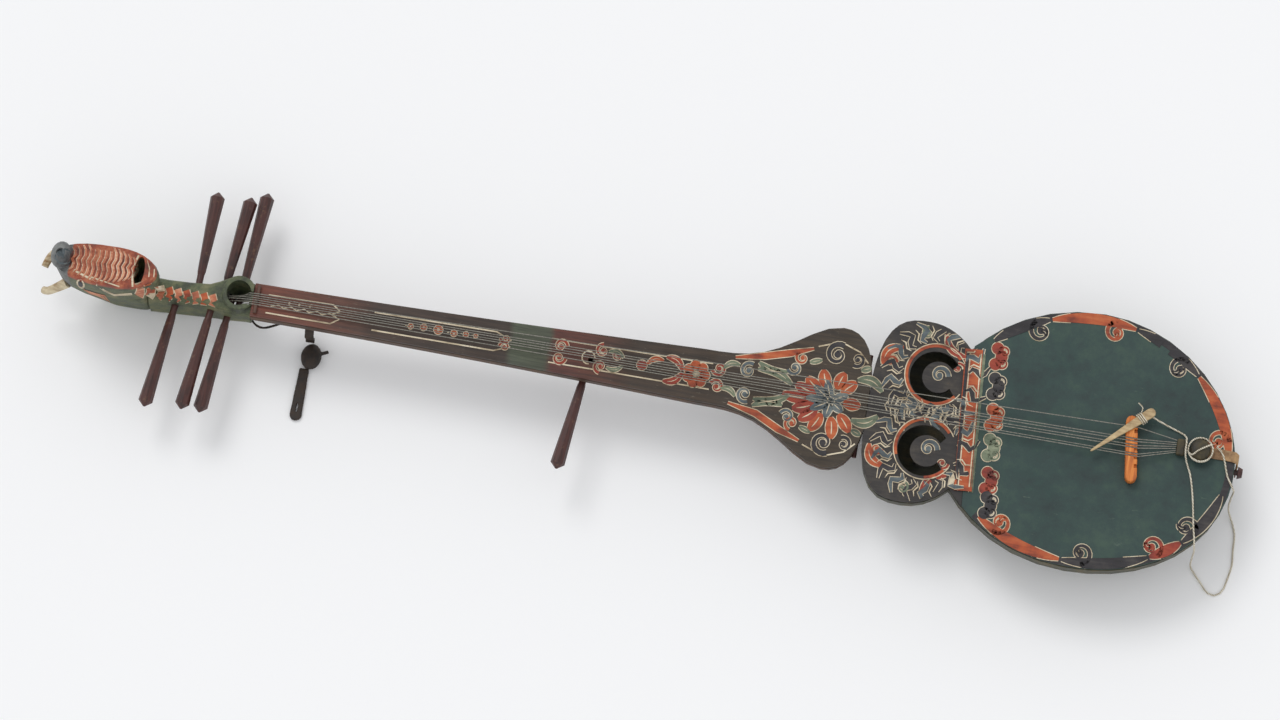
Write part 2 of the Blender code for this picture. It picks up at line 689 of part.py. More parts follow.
def make_neck():
    """Neck and flare in one, with a tenon, the drone peg's bore and a dowel hole."""
    rings = [d_section(x, neck_half_width(x), NECK_TOP, neck_depth(x), NECK_ROUNDNESS, 12)
             for x in neck_places()]
    neck = loft("neck", rings, NECK_WOOD)
    tenon_top = FRONT_HEIGHT - TENON_DROP
    tenon = box("tenon", (SEAM - 0.012, -TENON_WIDTH / 2, tenon_top - TENON_HEIGHT),
                (SEAM + TENON_LENGTH, TENON_WIDTH / 2, tenon_top), NECK_WOOD)
    join(neck, tenon)
    bore = peg_bore(DRONE_PEG)
    chamber_half = Vector((0.0, DRONE_CHAMBER_LENGTH / 2, 0.0))
    centre = Vector((DRONE_PEG[1], DRONE_HOLE_Y, DRONE_PEG[2]))
    chamber = rod("chamber_cutter", centre - chamber_half, centre + chamber_half,
                  DRONE_CHAMBER_RADIUS, DRONE_CHAMBER_RADIUS, None, CUTTERS)
    cut(neck, bore, chamber, drone_hole_cutter(DRONE_PEG[2]))
    dowel = rod("dowel_cutter", (DOWEL_X, -0.2, FRONT_HEIGHT - DOWEL_DROP),
                (DOWEL_X, 0.2, FRONT_HEIGHT - DOWEL_DROP), DOWEL_RADIUS + CLEARANCE,
                DOWEL_RADIUS + CLEARANCE, None, CUTTERS, 16)
    cut(neck, dowel)
    smooth(neck)
    made = rod("joint_dowel", (DOWEL_X, -DOWEL_HALF_LENGTH, FRONT_HEIGHT - DOWEL_DROP),
               (DOWEL_X, DOWEL_HALF_LENGTH, FRONT_HEIGHT - DOWEL_DROP), DOWEL_RADIUS,
               DOWEL_RADIUS, PEG_WOOD, None, 16)
    smooth(made)


def drone_hole_cutter(bottom):
    """The round hole in the front of the neck that the short string comes out of."""
    return rod("drone_hole_cutter", (DRONE_HOLE_X, DRONE_HOLE_Y, bottom),
               (DRONE_HOLE_X, DRONE_HOLE_Y, FRONT_HEIGHT + 0.01), DRONE_HOLE_RADIUS,
               DRONE_HOLE_RADIUS, None, CUTTERS, 20)


def make_fingerboard():
    """The painted board over the whole front of the neck."""
    half = [(x, neck_half_width(x) - FINGERBOARD_INSET) for x in neck_places()]
    outline = half + [(x, -y) for x, y in reversed(half)]
    bottom = FRONT_HEIGHT - FINGERBOARD_THICKNESS
    board = slab("fingerboard", outline, bottom, FRONT_HEIGHT, NECK_WOOD)
    cut(board, drone_hole_cutter(bottom - 0.01))


def slot_cutter(x, y, top, length, depth):
    """A narrow slot along X for one string."""
    half = STRING_RADIUS + RUNNING_GAP
    return box("slot_cutter", (x - length, y - half, top - depth), (x + length, y + half,
               top + 0.01), None, CUTTERS)


def nut_line(number):
    """The Y of a string at the nut, counted from the upper side."""
    return NUT_SPACING * (2.5 - number)


def make_nut():
    """A low bone nut with a slot for each long string."""
    bottom = FRONT_HEIGHT + CLEARANCE
    top = bottom + NUT_HEIGHT
    nut = box("nut", (NUT_X - NUT_LENGTH / 2, -NUT_WIDTH / 2, bottom),
              (NUT_X + NUT_LENGTH / 2, NUT_WIDTH / 2, top), BONE)
    bevel(nut, 0.0006, 1)
    for number in range(len(BRIDGE_LINES)):
        cut(nut, slot_cutter(NUT_X, nut_line(number), top, 0.01, SLOT_DEPTH))


def bridge_x(y):
    """The bridge's own middle line at this Y; the bridge stands a little askew."""
    return BRIDGE_X - (y - BRIDGE_Y) * math.tan(BRIDGE_TURN)


def over_bridge(y):
    """A string's two bends, just before and just behind the bridge."""
    reach = BRIDGE_WIDTH / 2 / math.cos(BRIDGE_TURN) + 0.0010
    return [(bridge_x(y) - reach, y, STRING_AT_BRIDGE), (bridge_x(y) + reach, y,
            STRING_AT_BRIDGE)]


def make_bridge():
    """The loose bridge: a low bar with rounded ends, steps behind and a slot a string."""
    half = BRIDGE_WIDTH / 2
    reach = BRIDGE_LENGTH / 2 - half
    ends = []
    for middle, start in ((reach, 0.0), (-reach, math.pi)):
        for i in range(7):
            angle = start + math.pi * i / 6
            ends.append((half * math.cos(angle), middle + half * math.sin(angle)))
    bottom = FRONT_HEIGHT + CLEARANCE
    top = bottom + BRIDGE_HEIGHT
    bridge = slab("bridge", ends, bottom, top, BRIDGE_WOOD)
    bevel(bridge, 0.0007, 1)
    pitch = (BRIDGE_LENGTH - 2 * BRIDGE_WIDTH) / BRIDGE_NOTCHES
    for i in range(BRIDGE_NOTCHES):
        y = (i - (BRIDGE_NOTCHES - 1) / 2) * pitch
        notch = box("notch_cutter", (half - BRIDGE_NOTCH, y - pitch * 0.22, top - BRIDGE_HEIGHT
                    * 0.45), (half + 0.01, y + pitch * 0.22, top + 0.01), None, CUTTERS)
        cut(bridge, notch)
    bridge.data.transform(Matrix.Rotation(BRIDGE_TURN, 4, "Z"))
    bridge.location = (BRIDGE_X, BRIDGE_Y, 0.0)
    bpy.context.view_layer.update()
    slot_half = 0.02
    for y in BRIDGE_LINES + (DRONE_BRIDGE_LINE,):
        cut(bridge, slot_cutter(bridge_x(y), y, top, slot_half, SLOT_DEPTH + 0.0004))


def peg_direction(peg):
    """The unit vector from the box's middle line toward the peg's head."""
    turn = math.radians(peg[3])
    side = peg[4]
    return Vector((side * math.sin(turn), side * math.cos(turn), 0.0))


def peg_line(peg, margin=0.0):
    """A peg's far end, seated in the far wall, and its head's outer end."""
    direction = peg_direction(peg)
    centre = Vector((peg[1], 0.0, peg[2]))
    far_reach = CHANNEL_HALF_WIDTH + PEG_SEAT_DEPTH + margin
    return centre - direction * far_reach, centre + direction * peg[5]


def peg_bore(peg):
    """The cutter of the round hole that a peg turns in."""
    start, end = peg_line(peg, 2 * CLEARANCE)
    radius = PEG_SHANK_RADIUS + RUNNING_GAP
    return rod("bore_cutter", start, end, radius, radius, None, CUTTERS, 16)


def make_peg(peg, near_wall):
    """An eight-sided tapered peg with a pointed head and a round shank."""
    start, end = peg_line(peg)
    direction = peg_direction(peg)
    centre = Vector((peg[1], 0.0, peg[2]))
    length = (end - start).length
    collar = (centre + direction * near_wall - start).length
    profile = (
        (0.0, PEG_TIP_RADIUS, 16),
        (collar, PEG_SHANK_RADIUS, 16),
        (collar + 0.003, PEG_NECK_RADIUS, 8),
        (length - PEG_POINT, PEG_HEAD_RADIUS, 8),
        (length - 0.0006, 0.0009, 8),
    )
    turn = direction.to_track_quat("Z", "Y").to_matrix().to_4x4()
    place = Matrix.Translation(start) @ turn
    rings = []
    for along, radius, sides in profile:
        ring = []
        for i in range(16):
            angle = math.tau * i / 16
            shrink = 1.0
            if sides == 8 and i % 2:
                shrink = math.cos(math.pi / 8)
            ring.append(place @ Vector((radius * shrink * math.cos(angle),
                                        radius * shrink * math.sin(angle), along)))
        rings.append(ring)
    made = loft(peg[0], rings, PEG_WOOD)
    made.data.transform(place.inverted())
    made.matrix_world = place
    smooth(made, math.radians(30))


def make_pegbox():
    """The hollow pegbox, open at the back, with a round mouth for the strings."""
    rings = []
    for x, y, half_width, front, back in PEGBOX_STATIONS:
        middle = (y, (front + back) / 2)
        half_height = (front - back) / 2
        rings.append(superellipse_ring(x, middle, half_width, half_height, PEGBOX_ROUNDNESS, 24))
    pegbox = loft("pegbox", rings, GREEN_PAINT)
    mouth_ring = collar_ring()
    join(pegbox, mouth_ring)
    roof = [(x, front - CHANNEL_ROOF) for x, _y, _w, front, _b in PEGBOX_STATIONS
            if CHANNEL_HEAD_END < x < MOUTH_X - MOUTH_HALF_LENGTH]
    head_roof = front_height_at(CHANNEL_HEAD_END) - CHANNEL_ROOF
    neck_roof = front_height_at(MOUTH_X - MOUTH_HALF_LENGTH) - CHANNEL_ROOF
    side_view = [(CHANNEL_HEAD_END, -0.02), (CHANNEL_HEAD_END, head_roof)]
    side_view += sorted(roof)
    side_view += [(MOUTH_X - MOUTH_HALF_LENGTH, neck_roof), (CHANNEL_NECK_END, neck_roof),
                  (CHANNEL_NECK_END, -0.02)]
    channel = loft("channel_cutter",
                   [[(x, y, z) for x, z in side_view]
                    for y in (-CHANNEL_HALF_WIDTH, CHANNEL_HALF_WIDTH)], None, CUTTERS)
    mouth = mouth_cutter()
    string_way = box("string_exit_cutter", (MOUTH_X, -CHANNEL_HALF_WIDTH, neck_roof - CLEARANCE),
                     (STRING_EXIT_X + STRING_EXIT_MARGIN, CHANNEL_HALF_WIDTH, 0.1), None, CUTTERS)
    cut(pegbox, channel, mouth, string_way)
    for peg in PEGS:
        cut(pegbox, peg_bore(peg))
    smooth(pegbox)


def front_height_at(x):
    """The height of the pegbox's front at x."""
    for near, far in zip(PEGBOX_STATIONS, PEGBOX_STATIONS[1:]):
        if far[0] <= x <= near[0]:
            return near[3] + (far[3] - near[3]) * (x - near[0]) / (far[0] - near[0])
    return PEGBOX_STATIONS[-1][3]


def superellipse_ring(x, middle, half_width, half_height, power, count):
    """A closed rounded section across X."""
    ring = []
    for i in range(count):
        angle = math.tau * i / count
        c = math.cos(angle)
        s = math.sin(angle)
        ring.append((x, middle[0] + half_width * math.copysign(abs(c) ** (2 / power), c),
                     middle[1] + half_height * math.copysign(abs(s) ** (2 / power), s)))
    return ring


def oval(centre, half_x, half_y, z, count):
    """A level oval ring of points."""
    return [(centre[0] + half_x * math.cos(math.tau * i / count),
             centre[1] + half_y * math.sin(math.tau * i / count), z) for i in range(count)]


def collar_ring():
    """The raised lip round the mouth."""
    top = front_height_at(MOUTH_X) + COLLAR_RISE
    centre = (MOUTH_X, MOUTH_Y)
    rings = [oval(centre, MOUTH_HALF_LENGTH + COLLAR_WALL, MOUTH_HALF_WIDTH + COLLAR_WALL + 0.001,
                  top - 0.016, 28),
             oval(centre, MOUTH_HALF_LENGTH + COLLAR_WALL * 0.8,
                  MOUTH_HALF_WIDTH + COLLAR_WALL * 0.8, top - 0.001, 28),
             oval(centre, MOUTH_HALF_LENGTH + COLLAR_WALL * 0.6,
                  MOUTH_HALF_WIDTH + COLLAR_WALL * 0.6, top, 28)]
    ring = loft("collar", rings, GREEN_PAINT)
    neck_side = box("collar_cutter", (NECK_HEAD_END - CLEARANCE, -0.05, 0.0),
                    (NECK_HEAD_END + 0.05, 0.05, 0.1), None, CUTTERS)
    string_way = box("string_way_cutter", (MOUTH_X, -CHANNEL_HALF_WIDTH, FRONT_HEIGHT - 0.0005),
                     (MOUTH_X + 0.05, CHANNEL_HALF_WIDTH, 0.1), None, CUTTERS)
    return cut(ring, neck_side, string_way)


def mouth_cutter():
    """The mouth's oval well, narrowing down to the channel."""
    top = front_height_at(MOUTH_X) + 0.01
    centre = (MOUTH_X, MOUTH_Y)
    rings = [oval((MOUTH_X, 0.0), MOUTH_HALF_LENGTH * 0.75, CHANNEL_HALF_WIDTH * 0.95,
                  FRONT_HEIGHT - MOUTH_DEPTH, 24),
             oval(centre, MOUTH_HALF_LENGTH * 0.95, MOUTH_HALF_WIDTH * 0.9,
                  FRONT_HEIGHT - MOUTH_DEPTH * 0.5, 24),
             oval(centre, MOUTH_HALF_LENGTH, MOUTH_HALF_WIDTH, top, 24)]
    return loft("mouth_cutter", rings, None, CUTTERS)


def make_head():
    """The carved head of a makara with its mouth open to the front, and its two horns."""
    rings = []
    for z, forehead, throat, half_width, squareness in HEAD_STATIONS:
        ring = []
        for i in range(28):
            angle = math.tau * i / 28
            c = math.cos(angle)
            s = math.sin(angle)
            power = squareness if c > 0 else HEAD_ROUNDNESS
            reach = abs((throat if c > 0 else forehead) - HEAD_WIDEST)
            ring.append((HEAD_WIDEST + reach * math.copysign(abs(c) ** (2 / power), c),
                         half_width * math.copysign(abs(s) ** (2 / power), s), z))
        rings.append(ring)
    head = loft("makara_head", rings, GREEN_PAINT)
    join(head, ball("snout", SNOUT_CENTRE, SNOUT_RADII, GREEN_PAINT))
    top = HEAD_STATIONS[-1][0]
    centre = (THROAT_X, 0.0)
    throat = loft("throat_cutter",
                  [oval(centre, THROAT_HALF_LENGTH * 0.6, THROAT_HALF_WIDTH * 0.6,
                        top - THROAT_DEPTH, 20),
                   oval(centre, THROAT_HALF_LENGTH, THROAT_HALF_WIDTH, top - THROAT_DEPTH * 0.5,
                        20),
                   oval(centre, THROAT_HALF_LENGTH, THROAT_HALF_WIDTH, top + 0.01, 20)],
                  None, CUTTERS)
    snout_top = SNOUT_CENTRE[2] + SNOUT_RADII[2]
    nostril = rod("nostril_cutter",
                  (SNOUT_CENTRE[0], SNOUT_CENTRE[1], snout_top - NOSTRIL_DEPTH),
                  (SNOUT_CENTRE[0], SNOUT_CENTRE[1], snout_top + 0.01), NOSTRIL_RADIUS * 0.7,
                  NOSTRIL_RADIUS * 1.6, None, CUTTERS, 16)
    cut(head, throat, nostril)
    for name, points in HORN_ROUTES:
        route = smooth_route(points, 12)
        radii = [HORN_BASE_RADIUS + (HORN_TIP_RADIUS - HORN_BASE_RADIUS) * i / 11
                 for i in range(12)]
        smooth(tube(name, route, HORN_BASE_RADIUS, HORN, 2, radii))
        start = Vector(route[0]) - (Vector(route[1]) - Vector(route[0])).normalized() * CLEARANCE
        socket_route = [start, *route[1:]]
        socket = tube(name + "_cutter", socket_route, HORN_BASE_RADIUS, None, 2,
                      [radius + CLEARANCE * 1.2 for radius in radii], CUTTERS)
        cut(head, socket)
    smooth(head)


def winding(peg, y, shift_side, target, sense=1):
    """A string's turns round its peg, ending where it leaves straight toward the target.

    The string winds up the peg's far side and leaves over its top with sense 1, and the
    other way round with sense -1.
    """
    radius = PEG_SHANK_RADIUS + RUNNING_GAP + STRING_RADIUS
    axis = peg_direction(peg)
    slope = axis.x / axis.y
    dx = target[0] - (peg[1] + y * slope)
    dz = target[2] - peg[2]
    leave = math.atan2(dz, dx) + sense * math.acos(radius / math.hypot(dx, dz))
    steps = int(WINDING_TURNS * WINDING_POINTS)
    points = []
    for back in range(steps, -1, -1):
        angle = leave + sense * math.tau * back / WINDING_POINTS
        shift = shift_side * WINDING_PITCH * back / WINDING_POINTS
        points.append((peg[1] + (y + shift) * slope + radius * math.cos(angle), y + shift,
                       peg[2] + radius * math.sin(angle)))
    return points


def make_strings():
    """Six long strings and the short drone string, each whole from its peg to the tie."""
    for number, peg_name in enumerate(STRING_PEGS):
        peg = PEG_BY_NAME[peg_name]
        y = nut_line(number)
        over_edge = (STRING_EXIT_X, y, FRONT_HEIGHT + 0.0012)
        turns = winding(peg, y, -1 if number < 3 else 1, over_edge)
        points = [*turns, over_edge, (NUT_X - NUT_LENGTH / 2 - CLEARANCE, y, STRING_AT_NUT)]
        points += [*over_bridge(BRIDGE_LINES[number]),
                   (STRING_END, TIE_LINES[number] + TOGGLE_Y - 0.0056, FRONT_HEIGHT + TIE_HEIGHT)]
        tube(f"string_{number + 1}", points, STRING_RADIUS, GUT, 1)
        turn_gap = least_gap(turns, STRING_RADIUS, WINDING_POINTS)
        print(f"string_{number + 1} winding: least gap {turn_gap * 1000:.2f} mm")
    y = DRONE_HOLE_Y
    edge_x = DRONE_HOLE_X + DRONE_HOLE_RADIUS - STRING_RADIUS - RUNNING_GAP
    over_edge = (edge_x, y, FRONT_HEIGHT + STRING_RADIUS + RUNNING_GAP)
    turns = winding(DRONE_PEG, y, 1, over_edge, -1)
    points = [*turns, over_edge,
              *over_bridge(DRONE_BRIDGE_LINE),
              (STRING_END, DRONE_TIE_LINE + TOGGLE_Y - 0.0056, FRONT_HEIGHT + TIE_HEIGHT)]
    tube("drone_string", points, STRING_RADIUS, GUT, 1)
    turn_gap = least_gap(turns, STRING_RADIUS, WINDING_POINTS)
    print(f"drone_string winding: least gap {turn_gap * 1000:.2f} mm")


def ribbon(name, path, width, thickness, look, across=(0.0, 1.0, 0.0)):
    """A flat strap along a path, its width held across one direction."""
    across = Vector(across)
    points = [Vector(point) for point in path]
    rings = []
    for i, point in enumerate(points):
        before = points[max(i - 1, 0)]
        after = points[min(i + 1, len(points) - 1)]
        along = (after - before).normalized()
        normal = along.cross(across).normalized()
        side = across * width / 2
        lift = normal * thickness / 2
        rings.append([point - side - lift, point + side - lift, point + side + lift,
                      point - side + lift])
    return smooth(loft(name, rings, look))


def make_tail():
    """Toggle, string holder, cord, strap over the rim and tail pin."""
    strap_base = FRONT_HEIGHT + CLEARANCE + STRAP_THICKNESS / 2
    end_x = BODY_HALF_LENGTH + CLEARANCE * 2 + STRAP_THICKNESS / 2
    route = smooth_route((
        (STRAP_START, TOGGLE_Y, strap_base),
        (BODY_HALF_LENGTH - 0.010, TOGGLE_Y, strap_base),
        (BODY_HALF_LENGTH - 0.001, TOGGLE_Y - 0.0005, strap_base + 0.0002),
        (end_x + 0.0003, TOGGLE_Y - 0.0020, FRONT_HEIGHT - 0.0008),
        (end_x + 0.0003, TOGGLE_Y * 0.3, FRONT_HEIGHT - PIN_DROP * 0.5),
        (end_x, PIN_Y + 0.0004, FRONT_HEIGHT - PIN_DROP - 0.0045)), 16)
    strap = ribbon("tail_strap", route, STRAP_WIDTH, STRAP_THICKNESS, PALE_HIDE)
    pin_height = FRONT_HEIGHT - PIN_DROP
    inner = (BODY_HALF_LENGTH - PIN_IN_WOOD, PIN_Y, pin_height)
    neck_end = (end_x + STRAP_THICKNESS / 2 + 0.0012, PIN_Y, pin_height)
    outer = (neck_end[0] + PIN_HEAD_LENGTH, PIN_Y, pin_height)
    eye = rod("strap_eye_cutter", inner, outer, PIN_SHAFT_RADIUS + CLEARANCE,
              PIN_SHAFT_RADIUS + CLEARANCE, None, CUTTERS, 16)
    cut(strap, eye)
    pin = rod("tail_pin", inner, (neck_end[0] + 0.001, PIN_Y, pin_height), PIN_SHAFT_RADIUS,
              PIN_SHAFT_RADIUS, PEG_WOOD, None, 16)
    head = rod("pin_head", neck_end, outer, PIN_HEAD_RADIUS, PIN_HEAD_RADIUS * 0.7, PEG_WOOD,
               None, 16)
    smooth(join(pin, head))
    toggle_bottom = FRONT_HEIGHT + 2 * CLEARANCE + STRAP_THICKNESS
    toggle = ball("tail_toggle", (TOGGLE_X, TOGGLE_Y, toggle_bottom + TOGGLE_HEIGHT / 2),
                  (TOGGLE_RADIUS, TOGGLE_RADIUS * 1.08, TOGGLE_HEIGHT / 2), LEATHER)
    smooth(toggle)
    holder_bottom = FRONT_HEIGHT + CLEARANCE
    holder = box("string_holder", (STRING_END + CLEARANCE + STRING_RADIUS * 0.2,
                                   TOGGLE_Y - HOLDER_WIDTH / 2, holder_bottom),
                 (STRING_END + CLEARANCE + HOLDER_LENGTH, TOGGLE_Y + HOLDER_WIDTH / 2,
                  holder_bottom + HOLDER_HEIGHT), LEATHER)
    bevel(holder, 0.0016, 2)
    smooth(holder)
    make_toggle_cord(toggle_bottom)


def make_toggle_cord(toggle_bottom):
    """The cream cord wound round the toggle, ending in a pass over its top."""
    radius = TOGGLE_RADIUS * 1.08 + TOGGLE_CORD_RADIUS + CLEARANCE
    bottom = toggle_bottom + TOGGLE_HEIGHT / 2 - TOGGLE_CORD_PITCH * TOGGLE_CORD_TURNS / 2
    steps = 24 * TOGGLE_CORD_TURNS
    turns = []
    for i in range(steps + 1):
        angle = math.radians(205) - math.tau * i / 24
        turns.append((TOGGLE_X + radius * math.cos(angle), TOGGLE_Y + radius * math.sin(angle),
                      bottom + TOGGLE_CORD_PITCH * i / 24))
    gap = least_gap(turns, TOGGLE_CORD_RADIUS, 24)
    print(f"toggle_cord: least gap {gap * 1000:.2f} mm")
    top = toggle_bottom + TOGGLE_HEIGHT + TOGGLE_CORD_RADIUS + CLEARANCE
    over = smooth_route((turns[-1], (TOGGLE_X - radius * 0.62, TOGGLE_Y - radius * 0.62,
                         turns[-1][2] + 0.0030),
                         (TOGGLE_X - radius * 0.25, TOGGLE_Y - radius * 0.25, top + 0.0006),
                         (TOGGLE_X + radius * 0.3, TOGGLE_Y + radius * 0.15, top + 0.0004),
                         (TOGGLE_X + radius * 0.80, TOGGLE_Y + radius * 0.50, top - 0.0020)), 12)
    smooth(tube("toggle_cord", turns + over[1:], TOGGLE_CORD_RADIUS, CREAM_CORD, 1))


def plectrum_frame():
    """The matrix with its origin at the tip, X along the plectrum, lying on the strings."""
    tip = Vector((*PLECTRUM_TIP, 0.0))
    butt = Vector((*PLECTRUM_BUTT, 0.0))
    along = butt - tip
    bottom = FRONT_HEIGHT + CLEARANCE + BRIDGE_HEIGHT + CLEARANCE
    angle = math.atan2(along.y, along.x)
    place = Matrix.Translation((tip.x, tip.y, bottom + PLECTRUM_THICKNESS / 2))
    return place @ Matrix.Rotation(angle, 4, "Z"), along.length


def make_plectrum():
    """The tapered plectrum lying over the strings, and the cord lashed round it."""
    place, length = plectrum_frame()
    half = PLECTRUM_WIDTH / 2
    tip = PLECTRUM_TIP_WIDTH / 2
    outline = [(0.0, -tip * 0.5), (0.0015, -tip), (length * 0.72, -half * 0.86),
               (length * 0.9, -half)]
    for i in range(7):
        angle = -math.pi / 2 + math.pi * i / 6
        outline.append((length - half + half * math.cos(angle), half * math.sin(angle)))
    outline += [(length * 0.9, half), (length * 0.72, half * 0.86), (0.0015, tip),
                (0.0, tip * 0.5)]
    plectrum = slab("plectrum", outline, -PLECTRUM_THICKNESS / 2, PLECTRUM_THICKNESS / 2, BONE)
    bevel(plectrum, 0.0005, 1)
    plectrum.matrix_world = place
    centre = length * LASHING_PLACE
    side = half * 0.93 + LASHING_RADIUS + CLEARANCE * 1.5
    lift = PLECTRUM_THICKNESS / 2 + LASHING_RADIUS + CLEARANCE * 1.5
    steps = LASHING_TURNS * 24
    turns = []
    for i in range(steps + 1):
        angle = math.tau * i / 24
        c = math.cos(angle)
        s = math.sin(angle)
        turns.append(place @ Vector((
            centre + LASHING_PITCH * (i / 24 - LASHING_TURNS / 2),
            side * math.copysign(abs(c) ** 0.55, c), lift * math.copysign(abs(s) ** 0.55, s))))
    print(f"plectrum_lashing: least gap {least_gap(turns, LASHING_RADIUS, 24) * 1000:.2f} mm")
    end = turns[-1]
    tail = smooth_route((end, place @ Vector((centre + 0.0060, side + 0.0030, 0.0010)),
                         place @ Vector((centre + 0.0050, side + 0.0085, 0.0020))), 6)
    smooth(tube("plectrum_lashing", turns + tail[1:], LASHING_RADIUS, CREAM_CORD, 1))


ON_SKIN = FRONT_HEIGHT + CORD_REST + CORD_RADIUS
ON_FLOOR = CORD_REST + CORD_RADIUS
CORD_ROUTE = (
    (0.0560, 0.0285, FRONT_HEIGHT + 0.0095),
    (0.0640, 0.0262, FRONT_HEIGHT + 0.0062),
    (0.0730, 0.0238, FRONT_HEIGHT + 0.0026),
    (0.0800, 0.0218, ON_SKIN + 0.0003),
    (0.0845, 0.0200, ON_SKIN + 0.0006),
    (0.0876, 0.0178, FRONT_HEIGHT + 0.0048),
    (0.0891, 0.0142, FRONT_HEIGHT + 0.0086),
    (0.0893, 0.0095, FRONT_HEIGHT + 0.0090),
    (0.0893, 0.0040, FRONT_HEIGHT + 0.0090),
    (0.0904, -0.0022, FRONT_HEIGHT + 0.0074),
    (0.0935, -0.0088, FRONT_HEIGHT + 0.0032),
    (0.0968, -0.0150, ON_SKIN + 0.0002),
    (0.1006, -0.0280, ON_SKIN),
    (0.1032, -0.0400, ON_SKIN),
    (0.1054, -0.0520, ON_SKIN),
    (0.1074, -0.0640, ON_SKIN),
    (0.1094, -0.0730, FRONT_HEIGHT + 0.0020),
    (0.1101, -0.0778, FRONT_HEIGHT + 0.0022),
    (0.1108, -0.0814, FRONT_HEIGHT - 0.0002),
    (0.1115, -0.0830, FRONT_HEIGHT - 0.0080),
    (0.1117, -0.0834, FRONT_HEIGHT - 0.0250),
    (0.1122, -0.0836, 0.0200),
    (0.1130, -0.0840, 0.0075),
    (0.1150, -0.0860, ON_FLOOR + 0.0006),
    (0.1200, -0.0915, ON_FLOOR),
    (0.1255, -0.0975, ON_FLOOR),
    (0.1310, -0.1040, ON_FLOOR),
    (0.1385, -0.1060, ON_FLOOR),
    (0.1450, -0.1010, ON_FLOOR),
    (0.1478, -0.0900, ON_FLOOR),
    (0.1502, -0.0760, ON_FLOOR),
    (0.1490, -0.0610, ON_FLOOR),
    (0.1485, -0.0480, ON_FLOOR),
    (0.1446, -0.0370, ON_FLOOR + 0.0004),
    (0.1400, -0.0290, 0.0060),
    (0.1382, -0.0262, 0.0200),
    (0.1378, -0.0250, FRONT_HEIGHT - 0.0250),
    (0.1382, -0.0240, FRONT_HEIGHT - 0.0050),
    (0.1370, -0.0225, FRONT_HEIGHT + 0.0016),
    (0.1336, -0.0180, FRONT_HEIGHT + 0.0030),
    (0.1296, -0.0105, ON_SKIN + 0.0003),
    (0.1265, -0.0010, ON_SKIN + 0.0010),
    (0.1240, 0.0050, FRONT_HEIGHT + 0.0040),
    (0.1205, 0.0100, FRONT_HEIGHT + 0.0046),
    (0.1165, 0.0125, FRONT_HEIGHT + 0.0058),
)


def make_plectrum_cord():
    """The loose cord from the plectrum's lashing down to the floor and back to the toggle."""
    points = smooth_route(CORD_ROUTE, CORD_POINTS)
    length = sum((b - a).length for a, b in zip(points, points[1:]))
    print(f"plectrum_cord: length {length * 1000:.1f} mm")
    smooth(tube("plectrum_cord", points, CORD_RADIUS, CREAM_CORD, 2))


def make_thong():
    """The leather thong that comes from under the neck down to the floor, with its knot."""
    back = NECK_TOP - neck_depth(THONG_X)
    top = back - CLEARANCE - THONG_THICKNESS / 2
    knot_x, knot_y, knot_z = THONG_KNOT_CENTRE
    face = knot_y + THONG_KNOT_RADII[1]
    path = smooth_route((
        (THONG_X, 0.0080, top),
        (THONG_X, -0.0020, top - 0.0002),
        (THONG_X, -0.0095, top - 0.0012),
        (THONG_X, -0.0140, top - 0.0065),
        (THONG_X, -0.0150, 0.0200),
        (THONG_X, -0.0130, 0.0110),
        (THONG_X, face + 0.0008, knot_z)), 20)
    ribbon("thong_strap", path, THONG_WIDTH, THONG_THICKNESS, LEATHER, (1.0, 0.0, 0.0))
    knot = ball("thong_knot", THONG_KNOT_CENTRE, THONG_KNOT_RADII, LEATHER, None, 16, 10)
    stub = rod("stub", (knot_x, knot_y, knot_z), THONG_STUB_TIP, THONG_STUB_RADIUS * 1.3,
               THONG_STUB_RADIUS, LEATHER, None, 10)
    join(knot, stub)
    smooth(knot)
    make_thong_loop()
    lace_top = NECK_TOP - neck_depth(NECK_HEAD_END) - CLEARANCE - THONG_LACE_RADIUS
    lace = smooth_route((
        (THONG_X - THONG_WIDTH / 2 - CLEARANCE, -0.0020, lace_top - 0.0008),
        (-0.7220, -0.0035, lace_top - 0.0008),
        (-0.7320, -0.0075, lace_top - 0.0010),
        (-0.7405, -0.0125, lace_top + 0.0004),
        (-0.7490, -0.0165, lace_top + 0.0022),
        (-0.7560, -0.0150, lace_top - 0.0002),
        (-0.7620, -0.0095, lace_top - 0.0045),
        (-0.7675, -0.0030, lace_top - 0.0060)), 22)
    smooth(tube("thong_lace", lace, THONG_LACE_RADIUS, LEATHER, 1))


def make_thong_loop():
    """The doubled end of the thong: a long flat loop with a narrow slit."""
    half = THONG_LOOP_WIDTH / 2
    outer = [(THONG_LOOP_X - half * 0.8, THONG_LOOP_NEAR),
             (THONG_LOOP_X + half * 0.8, THONG_LOOP_NEAR)]
    for i in range(9):
        angle = -math.pi * i / 8
        outer.append((THONG_LOOP_X + half * math.cos(angle),
                      THONG_LOOP_FAR + half + half * math.sin(angle)))
    bottom = CLEARANCE
    loop = slab("thong_loop", outer, bottom, bottom + THONG_LOOP_THICKNESS, LEATHER)
    bevel(loop, 0.0008, 1)
    slit = box("slit_cutter", (THONG_LOOP_X - THONG_SLIT_WIDTH / 2, THONG_SLIT_FAR, -0.01),
               (THONG_LOOP_X + THONG_SLIT_WIDTH / 2, THONG_SLIT_NEAR, 0.02), None, CUTTERS)
    cut(loop, slit)


def main():
    make_bowl()
    make_plate()
    make_skin()
    make_neck()
    make_fingerboard()
    make_nut()
    make_pegbox()
    make_head()
    for peg in PEGS:
        make_peg(peg, PEG_COLLAR)
    make_peg(DRONE_PEG, neck_half_width(DRONE_PEG[1]))
    make_bridge()
    make_strings()
    make_tail()
    make_plectrum()
    make_plectrum_cord()
    make_thong()


main()
